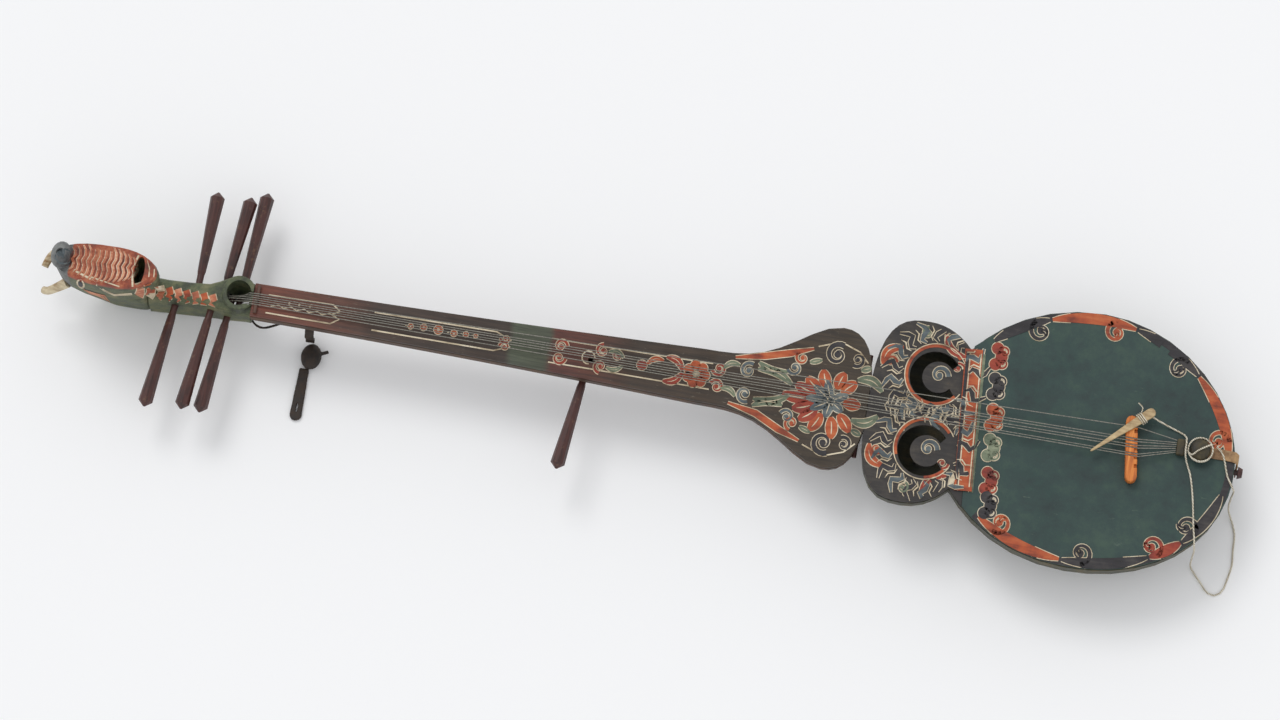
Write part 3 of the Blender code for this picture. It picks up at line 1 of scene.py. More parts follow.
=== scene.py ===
"""A painted Himalayan lute lying on its back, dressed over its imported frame."""

import math

import bmesh
import bpy
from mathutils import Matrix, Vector
from mathutils.bvhtree import BVHTree


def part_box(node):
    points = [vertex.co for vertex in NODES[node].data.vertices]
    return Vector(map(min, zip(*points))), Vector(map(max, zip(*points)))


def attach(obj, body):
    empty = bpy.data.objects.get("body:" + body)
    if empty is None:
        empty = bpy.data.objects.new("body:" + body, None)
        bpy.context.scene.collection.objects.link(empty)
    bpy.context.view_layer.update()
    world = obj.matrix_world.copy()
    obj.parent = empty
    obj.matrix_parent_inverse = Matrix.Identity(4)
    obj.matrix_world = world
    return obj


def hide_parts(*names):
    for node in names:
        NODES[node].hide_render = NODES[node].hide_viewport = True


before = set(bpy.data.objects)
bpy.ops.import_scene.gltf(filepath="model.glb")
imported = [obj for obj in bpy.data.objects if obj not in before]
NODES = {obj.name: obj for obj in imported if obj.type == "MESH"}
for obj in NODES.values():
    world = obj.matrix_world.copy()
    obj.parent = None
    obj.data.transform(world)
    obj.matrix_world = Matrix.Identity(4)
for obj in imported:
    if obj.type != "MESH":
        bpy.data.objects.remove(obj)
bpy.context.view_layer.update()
ROOT = "instrument"
SIDES = (1, -1)             # the upper and the lower side of a line, as the camera sees them

# Heights and the loose cord's thickness, in metres
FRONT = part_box("fingerboard")[1][2]
CORD_RADIUS = 0.0008
CORD_REST = 0.0004          # how far the loose cord stays off what it lies on
ON_SKIN = FRONT + CORD_REST + CORD_RADIUS
ON_FLOOR = CORD_REST + CORD_RADIUS

# The ornament is placed in steps, as the slanting view shows it: along the instrument from the
# string mouth's edge toward the tail, and across it toward the upper side
STEP = 0.0009               # one step along, in metres
TAIL_STEPS = 834            # steps from the string mouth's edge to the body's middle
TILT_SINE = 0.970           # how much the view shortens a step across
MIDDLE_AT_MOUTH = 2.2       # the instrument's middle line at the string mouth, in steps across
LEAN = 0.005                # how far that line drops with each step along
LOWEST_PAINT = FRONT - 0.06     # nothing further down is painted
LAYER = 0.00012             # the thickness of one coat of paint, in metres

# Camera, at the photograph's viewing angle
AIM = (-0.4066, 0.0042, 0.070)
AZIMUTH = math.radians(9.88)
ELEVATION = math.radians(76.0)
LENS = 180.0
SENSOR = 36.0
VIEW_WIDTH = 1.152          # how much the view takes in at the point it aims at, in metres
FARTHEST_SEEN = 50.0
AWAY = Vector((math.sin(AZIMUTH) * math.cos(ELEVATION),
               -math.cos(AZIMUTH) * math.cos(ELEVATION), math.sin(ELEVATION)))

# Floor and light
FLOOR_REACH = 6.0
FLOOR_PALE = (0.95, 0.95, 0.95, 1.0)
STUDIO_PALE = (0.97, 0.98, 1.0, 1.0)
STUDIO_STRENGTH = 0.80
LAMP_STRENGTH = 0.75
LAMP_WIDTH = math.radians(25)
LAMP_TURN = (math.radians(-28), math.radians(-24), 0.0)

# A colour mixing node's inputs between its factor and its two colours, and its colour output
NUMBER_INPUTS = (None,) * 5
COLOUR_OUTPUT = 2
NOISE_SPAN = (0.3, 0.7)     # nearly all of a noise's values lie between these


class Value:
    """A shader socket that takes part in sums."""

    def __init__(self, look, socket):
        self.look = look
        self.socket = socket

    def apply(self, operation, *values):
        return self.look.node("ShaderNodeMath", {"operation": operation}, *values)

    def __add__(self, other):
        return self.apply("ADD", self, other)

    def __mul__(self, other):
        return self.apply("MULTIPLY", self, other)

    def __sub__(self, other):
        return self.apply("SUBTRACT", self, other)

    def __rsub__(self, other):
        return self.apply("SUBTRACT", other, self)

    __radd__ = __add__
    __rmul__ = __mul__


class Look:
    """One material, its nodes made from expressions."""

    def __init__(self, name, **fixed):
        self.material = bpy.data.materials.new(name)
        self.material.use_nodes = True
        self.tree = self.material.node_tree
        self.shader = self.tree.nodes["Principled BSDF"]
        for socket, value in fixed.items():
            self.shader.inputs[socket.replace("_", " ")].default_value = value

    def feed(self, socket, value):
        if isinstance(value, Value):
            self.tree.links.new(value.socket, socket)
        elif value is not None:
            socket.default_value = value

    def node(self, kind, settings, *values, out=0, **named):
        """A node, its settings first, then its inputs in order and by name."""
        made = self.tree.nodes.new(kind)
        for key, value in settings.items():
            if key == "stops":
                ramp = made.color_ramp
                while len(ramp.elements) < len(value):
                    ramp.elements.new(0.5)
                for element, (place, colour) in zip(ramp.elements, value):
                    element.position = place
                    element.color = (*colour, 1.0)
            else:
                setattr(made, key, value)
        for socket, value in zip(made.inputs, values):
            self.feed(socket, value)
        for name, value in named.items():
            self.feed(made.inputs[name], value)
        return Value(self, made.outputs[out])

    def place(self):
        return self.node("ShaderNodeTexCoord", {}, out="Object")

    def along(self, axis):
        return self.node("ShaderNodeSeparateXYZ", {}, self.place(), out=axis)

    def stretched(self, x=1.0, y=1.0, z=1.0):
        """The place on the piece, so that a noise is drawn out along an axis under 1."""
        return self.node("ShaderNodeMapping", {}, Vector=self.place(), Scale=(x, y, z))

    def noise(self, scale, detail=4.0, rough=0.6, where=None):
        return self.node("ShaderNodeTexNoise", {}, Vector=where or self.place(), Scale=scale,
                         Detail=detail, Roughness=rough)

    def ramp(self, factor, *stops):
        return self.node("ShaderNodeValToRGB", {"stops": stops}, factor)

    def spread(self, value, low, high, start=0.0, end=1.0):
        return self.node("ShaderNodeMapRange", {}, value, low, high, start, end)

    def past(self, value, threshold, edge):
        """0 up to a threshold and 1 beyond it, with a soft edge."""
        return self.spread(value, threshold, threshold + edge)

    def vary(self, noise, low, high):
        """A noise as a roughness between two values."""
        return self.spread(noise, *NOISE_SPAN, low, high)

    def mix(self, factor, first, second, blend="MIX"):
        colours = [value if isinstance(value, Value) else (*value, 1.0)
                   for value in (first, second)]
        return self.node("ShaderNodeMix", {"data_type": "RGBA", "blend_type": blend}, factor,
                         *NUMBER_INPUTS, *colours, out=COLOUR_OUTPUT)

    def cover(self, under, over, where, strength):
        """A colour with another laid over it, as strongly as given at most."""
        return self.mix(where * strength, under, over)

    def dress(self, colour, roughness=None, height=None, depth=0.0003, strength=0.5):
        """The finished material; a height makes a bump of a depth in metres."""
        self.feed(self.shader.inputs["Base Color"], colour)
        self.feed(self.shader.inputs["Roughness"], roughness)
        if height is not None:
            bump = self.node("ShaderNodeBump", {}, Strength=strength, Distance=depth,
                             Height=height)
            self.feed(self.shader.inputs["Normal"], bump)
        return self.material


def weigh(first, second, share):
    """Two noises added, the second with a share of the whole."""
    return first * (1.0 - share) + second * share


def linear(red, green, blue):
    """A linear colour from one written in the usual 0 to 255 steps."""
    return tuple((c / 255 / 12.92) if c < 10.3 else ((c / 255 + 0.055) / 1.055) ** 2.4
                 for c in (red, green, blue))


BARE_WOOD = linear(128, 92, 58)
DUST = linear(120, 112, 96)
SKIN_SPECK = linear(132, 140, 116)
SKIN_SCUFF = linear(104, 122, 104)

# Ramps of colour. A place is a share of the noise, and on the fingerboard a share of its length.
BOARD_GROUND = (
    (0.0, linear(122, 62, 44)), (0.14, linear(104, 62, 46)), (0.20, linear(70, 52, 42)),
    (0.415, linear(62, 48, 38)), (0.425, linear(84, 92, 74)), (0.48, linear(82, 88, 70)),
    (0.49, linear(104, 50, 38)), (0.56, linear(92, 52, 38)), (0.62, linear(66, 50, 36)),
    (1.0, linear(66, 54, 38)),
)
BOARD_STREAKS = ((0.35, linear(96, 92, 88)), (0.65, linear(255, 250, 244)))
SKIN_TEAL = ((0.34, linear(24, 42, 42)), (0.50, linear(38, 62, 58)), (0.66, linear(58, 80, 68)))
CARVING_GREEN = ((0.36, linear(44, 50, 36)), (0.5, linear(82, 90, 62)),
                 (0.64, linear(118, 116, 84)))
PALATE_RED = ((0.36, linear(92, 38, 24)), (0.52, linear(150, 70, 44)),
              (0.66, linear(186, 118, 82)))
SNOUT_GREY = ((0.36, linear(58, 60, 62)), (0.64, linear(128, 130, 128)))
COTTON_CREAM = ((0.30, linear(150, 138, 116)), (0.55, linear(214, 206, 186)),
                (0.8, linear(236, 230, 214)))
GUT_GREY = ((0.3, linear(92, 90, 82)), (0.7, linear(158, 154, 142)))
BRIDGE_ORANGE = ((0.32, linear(150, 74, 26)), (0.52, linear(206, 116, 44)),
                 (0.7, linear(228, 148, 72)))
BOARD_ENDS = (-0.7605, -0.1985)     # where the fingerboard's length starts and ends


BRUSH_HEIGHT = 0.6          # a brush mark's height, where a chip's depth is 1
POLISH = 0.25               # the coat's weight where the polish is left
STREAK_STRENGTH = 0.7


def waver(noise, reach):
    """A noise about 0, to move a border between two paints."""
    return (noise - 0.5) * reach


def worn_paint(name, dark, middle, light, wear=0.66):
    """Old brushed paint: mottled, and rubbed through to wood in small spots past its wear."""
    look = Look(name)
    cloud = look.noise(scale=55.0, detail=6.0)
    brush = look.noise(scale=260.0, detail=3.0, where=look.stretched(x=0.12))
    ground = look.ramp(weigh(cloud, brush, share=0.35), (0.36, dark), (0.5, middle),
                       (0.66, light))
    chips = look.past(look.noise(scale=620.0, detail=5.0, rough=0.7), wear, edge=0.05)
    return look.dress(look.cover(ground, BARE_WOOD, where=chips, strength=0.7),
                      look.vary(cloud, 0.5, 0.75), height=brush * BRUSH_HEIGHT - chips,
                      strength=0.6)


def dark_grain(name, dark, light):
    """Stained wood with long fine grain and a worn polish."""
    look = Look(name, Coat_Roughness=0.35)
    fine = look.noise(scale=420.0, detail=5.0, rough=0.7, where=look.stretched(y=0.08))
    broad = look.noise(scale=38.0, detail=3.0)
    colour = look.ramp(weigh(fine, broad, share=0.4), (0.34, dark), (0.55, light), (0.72, dark))
    rubbed = look.past(look.noise(scale=150.0), 0.6, edge=0.12)
    look.feed(look.shader.inputs["Coat Weight"], rubbed * POLISH)
    return look.dress(look.cover(colour, BARE_WOOD, where=rubbed, strength=0.35),
                      look.vary(fine, 0.34, 0.55), height=fine, depth=0.0002)


def painted_board():
    """The fingerboard's ground: red-brown at the nut, a green panel, then darker to the flare."""
    look = Look("fingerboard_paint")
    share = look.spread(look.along("X"), *BOARD_ENDS)
    cloud = look.noise(scale=42.0, detail=6.0)
    streak = look.noise(scale=300.0, rough=0.7, where=look.stretched(x=0.06))
    ground = look.ramp(share + waver(cloud, 0.02), *BOARD_GROUND)
    streaked = look.mix(STREAK_STRENGTH, ground, look.ramp(streak, *BOARD_STREAKS),
                        blend="MULTIPLY")
    scratches = look.noise(scale=500.0, detail=5.0, rough=0.7, where=look.stretched(x=0.25))
    rubbed = look.past(scratches, 0.62, edge=0.06)
    return look.dress(look.cover(streaked, DUST, where=rubbed, strength=0.5),
                      look.vary(cloud, 0.42, 0.62), height=streak)


def painted_skin():
    """The skin head: dark teal paint, mottled and scuffed, over hide."""
    look = Look("skin_paint")
    cloud = look.noise(scale=14.0, detail=6.0, rough=0.65)
    mottle = look.noise(scale=70.0, detail=6.0, rough=0.7)
    fine = look.noise(scale=900.0, rough=0.7)
    ground = look.ramp(weigh(cloud, mottle, share=0.5), *SKIN_TEAL)
    rubs = look.noise(scale=130.0, detail=6.0, rough=0.75, where=look.stretched(x=0.3))
    scuffs = look.past(rubs, 0.64, edge=0.1)
    specks = look.past(fine, 0.66, edge=0.08)
    speckled = look.cover(ground, SKIN_SPECK, where=specks, strength=0.4)
    return look.dress(look.cover(speckled, SKIN_SCUFF, where=scuffs, strength=0.45),
                      look.vary(mottle, 0.42, 0.66), height=fine + cloud, depth=0.0002,
                      strength=0.4)


def carved_green(name, red_height, snout_end=-1.0):
    """Green carving, red above a height for the palate, and grey past the snout's root."""
    look = Look(name)
    cloud = look.noise(scale=60.0, detail=6.0, rough=0.7)
    fine = look.noise(scale=520.0, detail=5.0, rough=0.7)
    border = waver(cloud, 0.004)
    upper = look.past(look.along("Z") + border, red_height, edge=0.001)
    snout = 1.0 - look.past(look.along("X") + border, snout_end, edge=0.001)
    painted = look.mix(upper, look.ramp(cloud, *CARVING_GREEN), look.ramp(cloud, *PALATE_RED))
    carved = look.mix(snout, painted, look.ramp(cloud, *SNOUT_GREY))
    chips = look.past(fine, 0.64, edge=0.06)
    return look.dress(look.cover(carved, BARE_WOOD, where=chips, strength=0.6),
                      look.vary(cloud, 0.45, 0.72), height=fine + cloud, depth=0.0005,
                      strength=0.7)


def leather(name, dark, light):
    look = Look(name)
    pores = look.node("ShaderNodeTexVoronoi", {}, Vector=look.place(), Scale=900.0)
    cloud = look.noise(scale=90.0, detail=5.0, rough=0.7)
    colour = look.ramp(cloud, (0.36, dark), (0.66, light))
    return look.dress(colour, look.vary(cloud, 0.5, 0.78), height=pores + cloud, depth=0.0002,
                      strength=0.3)


def twisted_cotton():
    look = Look("cord_cotton", Roughness=0.85)
    wave = look.node("ShaderNodeTexWave", {"bands_direction": "DIAGONAL"}, Vector=look.place(),
                     Scale=260.0, Distortion=1.5)
    dirt = look.noise(scale=120.0)
    colour = look.ramp(weigh(dirt, wave, share=0.4), *COTTON_CREAM)
    return look.dress(colour, height=wave, strength=0.9)


def gut_string():
    look = Look("string_gut", Roughness=0.32)
    fine = look.noise(scale=700.0, detail=3.0)
    return look.dress(look.ramp(fine, *GUT_GREY), height=fine, depth=0.0001, strength=0.3)


def pale_bone(name, dark, light):
    look = Look(name)
    grain = look.noise(scale=300.0, where=look.stretched(x=0.2))
    stain = look.noise(scale=80.0, detail=5.0)
    colour = look.ramp(weigh(grain, stain, share=0.5), (0.34, dark), (0.6, light))
    return look.dress(colour, look.vary(stain, 0.35, 0.6), height=grain, depth=0.0002,
                      strength=0.4)


def orange_wood():
    look = Look("bridge_wood", Coat_Roughness=0.4)
    rings = look.noise(scale=260.0, where=look.stretched(y=0.1))
    return look.dress(look.ramp(rings, *BRIDGE_ORANGE), look.vary(rings, 0.42, 0.6),
                      height=rings)


PAINTS = {
    "cream": worn_paint("cream_paint", linear(150, 132, 104), linear(208, 192, 162),
                        linear(232, 220, 196), wear=0.60),
    "orange": worn_paint("orange_paint", linear(112, 44, 22), linear(170, 76, 38),
                         linear(192, 106, 62), wear=0.64),
    "red": worn_paint("red_paint", linear(92, 32, 22), linear(146, 54, 36), linear(168, 80, 54)),
    "black": worn_paint("black_paint", linear(24, 22, 24), linear(44, 41, 44),
                        linear(72, 68, 66)),
    "leaf": worn_paint("leaf_paint", linear(64, 74, 58), linear(104, 114, 92),
                       linear(142, 148, 122)),
    "blue": worn_paint("blue_grey_paint", linear(48, 56, 60), linear(82, 92, 96),
                       linear(124, 132, 130)),
    "salmon": worn_paint("salmon_paint", linear(136, 68, 44), linear(186, 110, 78),
                         linear(224, 170, 136), wear=0.62),
}


def dress_node(look, *names):
    for name in names:
        for slot in NODES[name].material_slots:
            slot.material = look


def join_surfaces(*names):
    """One tree of the surfaces that paint can lie on."""
    whole = bmesh.new()
    for name in names:
        whole.from_mesh(NODES[name].data)
    tree = BVHTree.FromBMesh(whole)
    whole.free()
    return tree


PAINTED = join_surfaces("fingerboard", "waist_plate", "skin_head", "skin_band", "pegbox",
                        "makara_head")


def middle_line(s):
    """Where the instrument's middle line is across the view, after so many steps along."""
    return MIDDLE_AT_MOUTH - LEAN * s


def spot(s, t):
    """The surface point and its normal from steps along and across the slanting view."""
    seen = Vector(((s - TAIL_STEPS) * STEP, (t - middle_line(s)) * STEP / TILT_SINE, FRONT))
    place, normal, _face, _reach = PAINTED.ray_cast(seen + AWAY, -AWAY)
    if place is None or place.z < LOWEST_PAINT:
        return None
    return place, normal if normal.dot(AWAY) > 0 else -normal


# How a stroke's width changes from its start, at 0, to its end, at 1
TAPERS = {
    "both": lambda share: math.sin(math.pi * (0.04 + 0.92 * share)) ** 0.6,
    "end": lambda share: 1.0 - 0.85 * share,
    "none": lambda share: 1.0,
}
DISC_SIDES = 20


class Coat:
    """One colour of the ornament: thin strokes that lie on the surface."""

    def __init__(self, paint, layer):
        self.paint = paint
        self.lift = LAYER * layer
        self.shape = bmesh.new()

    def stroke(self, points, width, taper="both", grow=0.0):
        """A band along the points, with a break where one of its sides misses the surface."""
        rows = []
        last = len(points) - 1
        for i, (s, t) in enumerate(points):
            before = points[max(i - 1, 0)]
            after = points[min(i + 1, last)]
            run = Vector((after[0] - before[0], after[1] - before[1]))
            if run.length == 0:
                continue
            side = Vector((-run.y, run.x)).normalized()
            half = width * TAPERS[taper](i / last) / 2 + grow
            edges = [spot(s + side.x * k * half, t + side.y * k * half) for k in SIDES]
            if None in edges:
                rows.append(None)
                continue
            rows.append([self.shape.verts.new(place + normal * self.lift)
                         for place, normal in edges])
        for here, there in zip(rows, rows[1:]):
            if here and there:
                self.shape.faces.new((here[0], here[1], there[1], there[0]))

    def disc(self, s, t, radius, grow=0.0, squeeze=1.0):
        centre = spot(s, t)
        reach = radius + grow
        ring = [spot(s + reach * math.cos(a), t + reach * squeeze * math.sin(a))
                for a in (math.tau * i / DISC_SIDES for i in range(DISC_SIDES))]
        if centre is None or None in ring:
            return
        middle = self.shape.verts.new(centre[0] + centre[1] * self.lift)
        rim = [self.shape.verts.new(place + normal * self.lift) for place, normal in ring]
        for i, vert in enumerate(rim):
            self.shape.faces.new((middle, vert, rim[(i + 1) % DISC_SIDES]))

    def finish(self, name):
        bmesh.ops.recalc_face_normals(self.shape, faces=self.shape.faces)
        for face in self.shape.faces:
            if face.normal.dot(AWAY) < 0:
                face.normal_flip()
        loose = [vert for vert in self.shape.verts if not vert.link_faces]
        bmesh.ops.delete(self.shape, geom=loose, context="VERTS")
        mesh = bpy.data.meshes.new(name)
        self.shape.to_mesh(mesh)
        self.shape.free()
        obj = bpy.data.objects.new(name, mesh)
        bpy.context.scene.collection.objects.link(obj)
        mesh.materials.append(PAINTS[self.paint])
        coat = obj.modifiers.new("coat", "SOLIDIFY")
        coat.thickness = LAYER
        coat.offset = -1.0
        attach(obj, ROOT)


# The coats, each with its top at its own height in layers, so that no two are level
COATS = {name: Coat(name, layer) for name, layer in
         (("cream", 2), ("orange", 3), ("red", 3.2), ("black", 3.4), ("leaf", 3.6),
          ("blue", 3.8), ("salmon", 4.0))}
FINE = Coat("cream", 5)
UNDER = Coat("black", 1)

# How each kind of ornament is drawn: widths in steps, or shares of its own size
OUTLINE = 0.8               # how far the cream edge stands out round a colour
CURL_STEPS = 22
CURL_WIDTH = 0.42
CURL_HEART = 0.30           # how far a curl winds in, and the size of its middle
LEAF_STEPS = 10
VEIN_STEPS = slice(2, 9)    # the part of a leaf's points that its vein follows
VEIN_WIDTH = 0.10
LINE_STEP = 6
PETAL_RING = 0.62
PETAL_SIZE = 0.36
FLOWER_HEART = 0.26
FLOWER_EYE = 0.16


def outlined(colour, points, width, taper="both"):
    COATS["cream"].stroke(points, width, taper, OUTLINE)
    COATS[colour].stroke(points, width, taper)


def button(colour, s, t, radius, squeeze=1.0):
    COATS["cream"].disc(s, t, radius, OUTLINE, squeeze)
    COATS[colour].disc(s, t, radius, 0.0, squeeze)


def arc(s, t, radius, start, end, steps, shrink=1.0):
    """Points round a centre; shrink under 1 winds them inward."""
    points = []
    for i in range(steps + 1):
        share = i / steps
        angle = math.radians(start + (end - start) * share)
        reach = radius * (1 + (shrink - 1) * share)
        points.append((s + reach * math.cos(angle), t + reach * math.sin(angle)))
    return points


def curl(colour, s, t, radius, start, sweep, width=CURL_WIDTH):
    outlined(colour, arc(s, t, radius, start, start + sweep, CURL_STEPS, CURL_HEART),
             radius * width, "end")
    button(colour, s, t, radius * CURL_HEART)


def leaf(colour, start, end, width, bow=0.0):
    """A pointed leaf with a pale vein, bowed to one side."""
    run = (end[0] - start[0], end[1] - start[1])
    points = [(start[0] + run[0] * k - run[1] * bow * math.sin(math.pi * k),
               start[1] + run[1] * k + run[0] * bow * math.sin(math.pi * k))
              for k in (i / LEAF_STEPS for i in range(LEAF_STEPS + 1))]
    outlined(colour, points, width)
    FINE.stroke(points[VEIN_STEPS], width * VEIN_WIDTH)


def line(colour, points, width):
    """A stroke of one width through corners, in short steps that follow the surface."""
    fine = []
    for (s0, t0), (s1, t1) in zip(points, points[1:]):
        steps = max(2, int(math.hypot(s1 - s0, t1 - t0) / LINE_STEP))
        fine += [(s0 + (s1 - s0) * i / steps, t0 + (t1 - t0) * i / steps) for i in range(steps)]
    COATS[colour].stroke([*fine, points[-1]], width, "none")


def flower(colour, s, t, radius, petals):
    for i in range(petals):
        angle = math.tau * i / petals
        button(colour, s + radius * PETAL_RING * math.cos(angle),
               t + radius * PETAL_RING * math.sin(angle), radius * PETAL_SIZE)
    COATS["cream"].disc(s, t, radius * FLOWER_HEART)
    FINE.disc(s, t, radius * FLOWER_EYE)


def across(points, side, shift=0):
    """Points given for the upper side, taken to either side and moved by a shift."""
    return [(s, t * side + shift) for s, t in points]


def moved(points, s, t=0):
    """Points given from a place of their own, moved to another."""
    return [(s + ds, t + dt) for ds, dt in points]


def curls(rows, side=1, shift=0):
    """Rows of colour, along, across, radius, start and sweep in degrees, and width."""
    for colour, s, t, radius, start, sweep, *width in rows:
        curl(colour, s, t * side + shift, radius, start * side, sweep * side, *width)


def leaves(rows, side=1, shift=0):
    """Rows of colour, root, tip, width and bow."""
    for colour, root, tip, width, bow in rows:
        leaf(colour, *across((root, tip), side, shift), width, bow * side)


def lines(rows, side=1, shift=0):
    """Rows of width and points, in cream."""
    for width, points in rows:
        line("cream", across(points, side, shift), width)


# The ornament's rows. A curl is colour, along, across, radius, start and sweep in degrees, and
# its width as a share of the radius where that isn't the usual one. A leaf is colour, root, tip,
# width and bow. A line is width and points. A disc is along, across and radius.

# Fingerboard, from the string mouth to where the neck widens. Rows for both sides come first.
NECK_LINES = ((1.4, ((4, 9), (70, 9.5), (78, 4), (70, 0))),
              (1.4, ((112, 9), (236, 9.5), (252, 3))),
              (1.3, ((292, 12), (335, 12), (455, 13))))
NECK_CURLS = (("red", 246, 4, 5, 180, 380), ("red", 302, 6, 6.5, 0, 400),
              ("red", 344, 8, 6.5, 90, 380), ("red", 462, 9, 7, 200, 400))
NECK_LEAVES = (("leaf", (350, 8), (366, 4), 4, 0.2), ("red", (408, 12), (426, 1), 7, 0.2))
NECK_END_LEAVES = (("leaf", (466, 10), (482, 16), 5, 0.2),
                   ("leaf", (466, -10), (482, -16), 5, 0.2))
SCALLOP = ((0, -2), (8, 0.5), (13, -2))
SCALLOP_STARTS = range(8, 72, 13)
SCALLOP_WIDTH = 1.1
PEARLS = ((26, 4, 1.2), (36, 4, 1.2), (47, 4, 1.0))
ROSETTES = ((150, 1, 4), (163, 2, 5), (178, 2, 7), (194, 1, 5), (206, 2, 4), (216, 2, 3))
ROSETTE_SIZE = 0.62         # this and the next two are shares of a rosette's radius
ROSETTE_EYE = 0.22
ROSETTE_LINK = 1.4
ROSETTE_LINK_WIDTH = 1.0
NECK_RING = (331, -1, 6.5, 0, 360, 14)      # along, across, radius, start, end, steps
NECK_RING_WIDTH = 1.2
NECK_CENTRE_CURL = ("red", 360, 5, 5, 90, 360)
NECK_CENTRE_BUTTON = ("red", 385, 0, 5)
NECK_CENTRE_LEAF = ("orange", (390, 2), (406, 8), 5, 0.2)
NECK_FLOWER = ("orange", 440, 0, 14, 7)


def paint_neck():
    """Lines, rosettes, cartouches and curls down the fingerboard."""
    for side in SIDES:
        lines(NECK_LINES, side)
        curls(NECK_CURLS, side)
        leaves(NECK_LEAVES, side)
    leaves(NECK_END_LEAVES)
    for s in SCALLOP_STARTS:
        line("cream", moved(SCALLOP, s), SCALLOP_WIDTH)
    for pearl in PEARLS:
        COATS["cream"].disc(*pearl)
    for s, t, radius in ROSETTES:
        button("orange", s, t, radius * ROSETTE_SIZE)
        FINE.disc(s, t, radius * ROSETTE_EYE)
        line("cream", [(s - radius, t), (s - radius * ROSETTE_LINK, t)], ROSETTE_LINK_WIDTH)
    COATS["cream"].stroke(arc(*NECK_RING), NECK_RING_WIDTH, "none")
    curl(*NECK_CENTRE_CURL)
    button(*NECK_CENTRE_BUTTON)
    leaf(*NECK_CENTRE_LEAF)
    flower(*NECK_FLOWER)


# Flare. The outer rows lie further out on the lower side, by the shift.
LOWER_SHIFT = -5
FLARE_EDGE_INNER = ((476, 23), (505, 29))
FLARE_EDGE_OUTER = ((530, 36), (552, 44))
FLARE_EDGE_WIDTH = 7
FLARE_CURLS = (("orange", 542, 33, 7, 100, 380), ("blue", 491, 12, 8, 60, 400))
FLARE_OUTER_CURLS = (("blue", 536, 22, 7, 200, 380), ("black", 576, 42, 11, 60, 420, 0.5),
                     ("black", 597, 40, 7, 240, 380, 0.5))
FLARE_LEAVES = (("leaf", (500, 15), (536, 5), 8, 0.12), ("leaf", (500, 22), (530, 17), 7, -0.12),
                ("leaf", (600, 20), (626, 12), 9, 0.2), ("leaf", (602, 30), (612, 34), 6, 0.0))
FLARE_OUTER_LEAVES = (("leaf", (550, 30), (562, 34), 5, 0.0),)
FLARE_OUTER_LINES = ((1.4, ((556, 47), (578, 55), (598, 48), (608, 38))),)
LOTUS = (577, -5)
LOTUS_TIPS = ((528, -5), (540, -18), (548, -28), (560, -37), (583, -42), (600, -33), (607, -6),
              (600, 17), (587, 25), (565, 25), (550, 15), (540, 7))
LOTUS_ROOT = 0.42           # how far out of the middle an outer petal starts
LOTUS_RED_END = 550         # the petals whose tips lie before this are red
LOTUS_PETAL = (12, 0.05)    # width and bow
LOTUS_INNER_TIPS = ((570, 15), (558, 8), (552, -5), (558, -16), (574, -22), (590, -14), (593, 4))
LOTUS_INNER_WIDTH = 9
LOTUS_HEART = (6.5, 1.2)    # radius, and its stretch across
SEEDS = 7
SEED_RING = (3.6, 4.2)      # half its length and half its width
SEED_RADIUS = 0.8


def paint_flare():
    """Edge bands, curls, leaves and the lotus where the neck widens."""
    for side, shift in zip(SIDES, (0, LOWER_SHIFT)):
        edge = across(FLARE_EDGE_INNER, side) + across(FLARE_EDGE_OUTER, side, shift)
        outlined("orange", edge, FLARE_EDGE_WIDTH)
        curls(FLARE_CURLS, side)
        curls(FLARE_OUTER_CURLS, side, shift)
        leaves(FLARE_LEAVES, side)
        leaves(FLARE_OUTER_LEAVES, side, shift)
        lines(FLARE_OUTER_LINES, side, shift)
    s, t = LOTUS
    for tip in LOTUS_TIPS:
        root = (s + (tip[0] - s) * LOTUS_ROOT, t + (tip[1] - t) * LOTUS_ROOT)
        leaf("red" if tip[0] < LOTUS_RED_END else "orange", root, tip, *LOTUS_PETAL)
    for tip in LOTUS_INNER_TIPS:
        leaf("blue", LOTUS, tip, LOTUS_INNER_WIDTH)
    button("leaf", s, t, *LOTUS_HEART)
    for i in range(SEEDS):
        angle = math.tau * i / SEEDS
        FINE.disc(s + SEED_RING[0] * math.cos(angle), t + SEED_RING[1] * math.sin(angle),
                  SEED_RADIUS)


# Waist. A wave's points are a distance from the sound hole's middle and a turn in degrees.
SOUND_HOLES = ((676, 38), (677, -36))
HOLE_RING = (29, 40, 320, 40)       # radius, start, end, steps
HOLE_RING_WIDTH = 3.0
HOLE_LINE = (31, 30, 330, 44)
HOLE_LINE_WIDTH = 1.0
STRIPES = 17
STRIPE_START = 12
STRIPE_TURN = 20.5
STRIPE_WAVE = ((33, 0), (37, 6), (41, 2), (45, -5), (49, -2), (55, 5))
STRIPE_WIDTH = 5.0
STRIPE_LINE_WAVE = ((34, 10), (39, 12), (44, 7), (49, 9))
STRIPE_LINE_WIDTH = 1.6
HOLE_CURL_OFFSET = 4
HOLE_CURL = (9, 0, 330, 0.5)        # radius, start, sweep, width
WAIST_LEAVES = (("orange", (622, 40), (640, 60), 9, 0.25), ("red", (680, 80), (703, 60), 7, -0.2))
WAIST_CURLS = (("orange", 630, 44, 6, 0, 360), ("red", 697, 48, 6, 0, 360))
WAIST_EDGE_CURLS = (("leaf", 662, 78, 6, 90, 360), ("leaf", 662, -78, 6, 90, -360))
WIDENING_ARCS = 5
WIDENING_START = 634
WIDENING_BULGE = 631
WIDENING_STEP = 5
WIDENING_REACH = (5.6, 4.2)         # the first arc's reach, and what each later one adds
WIDENING_WIDTH = 1.1
CHEVRON = ((664, -8), (666, 0), (664, 8))
CHEVRONS = 8
CHEVRON_STEP = 4.5
CHEVRON_WIDTH = 1.2
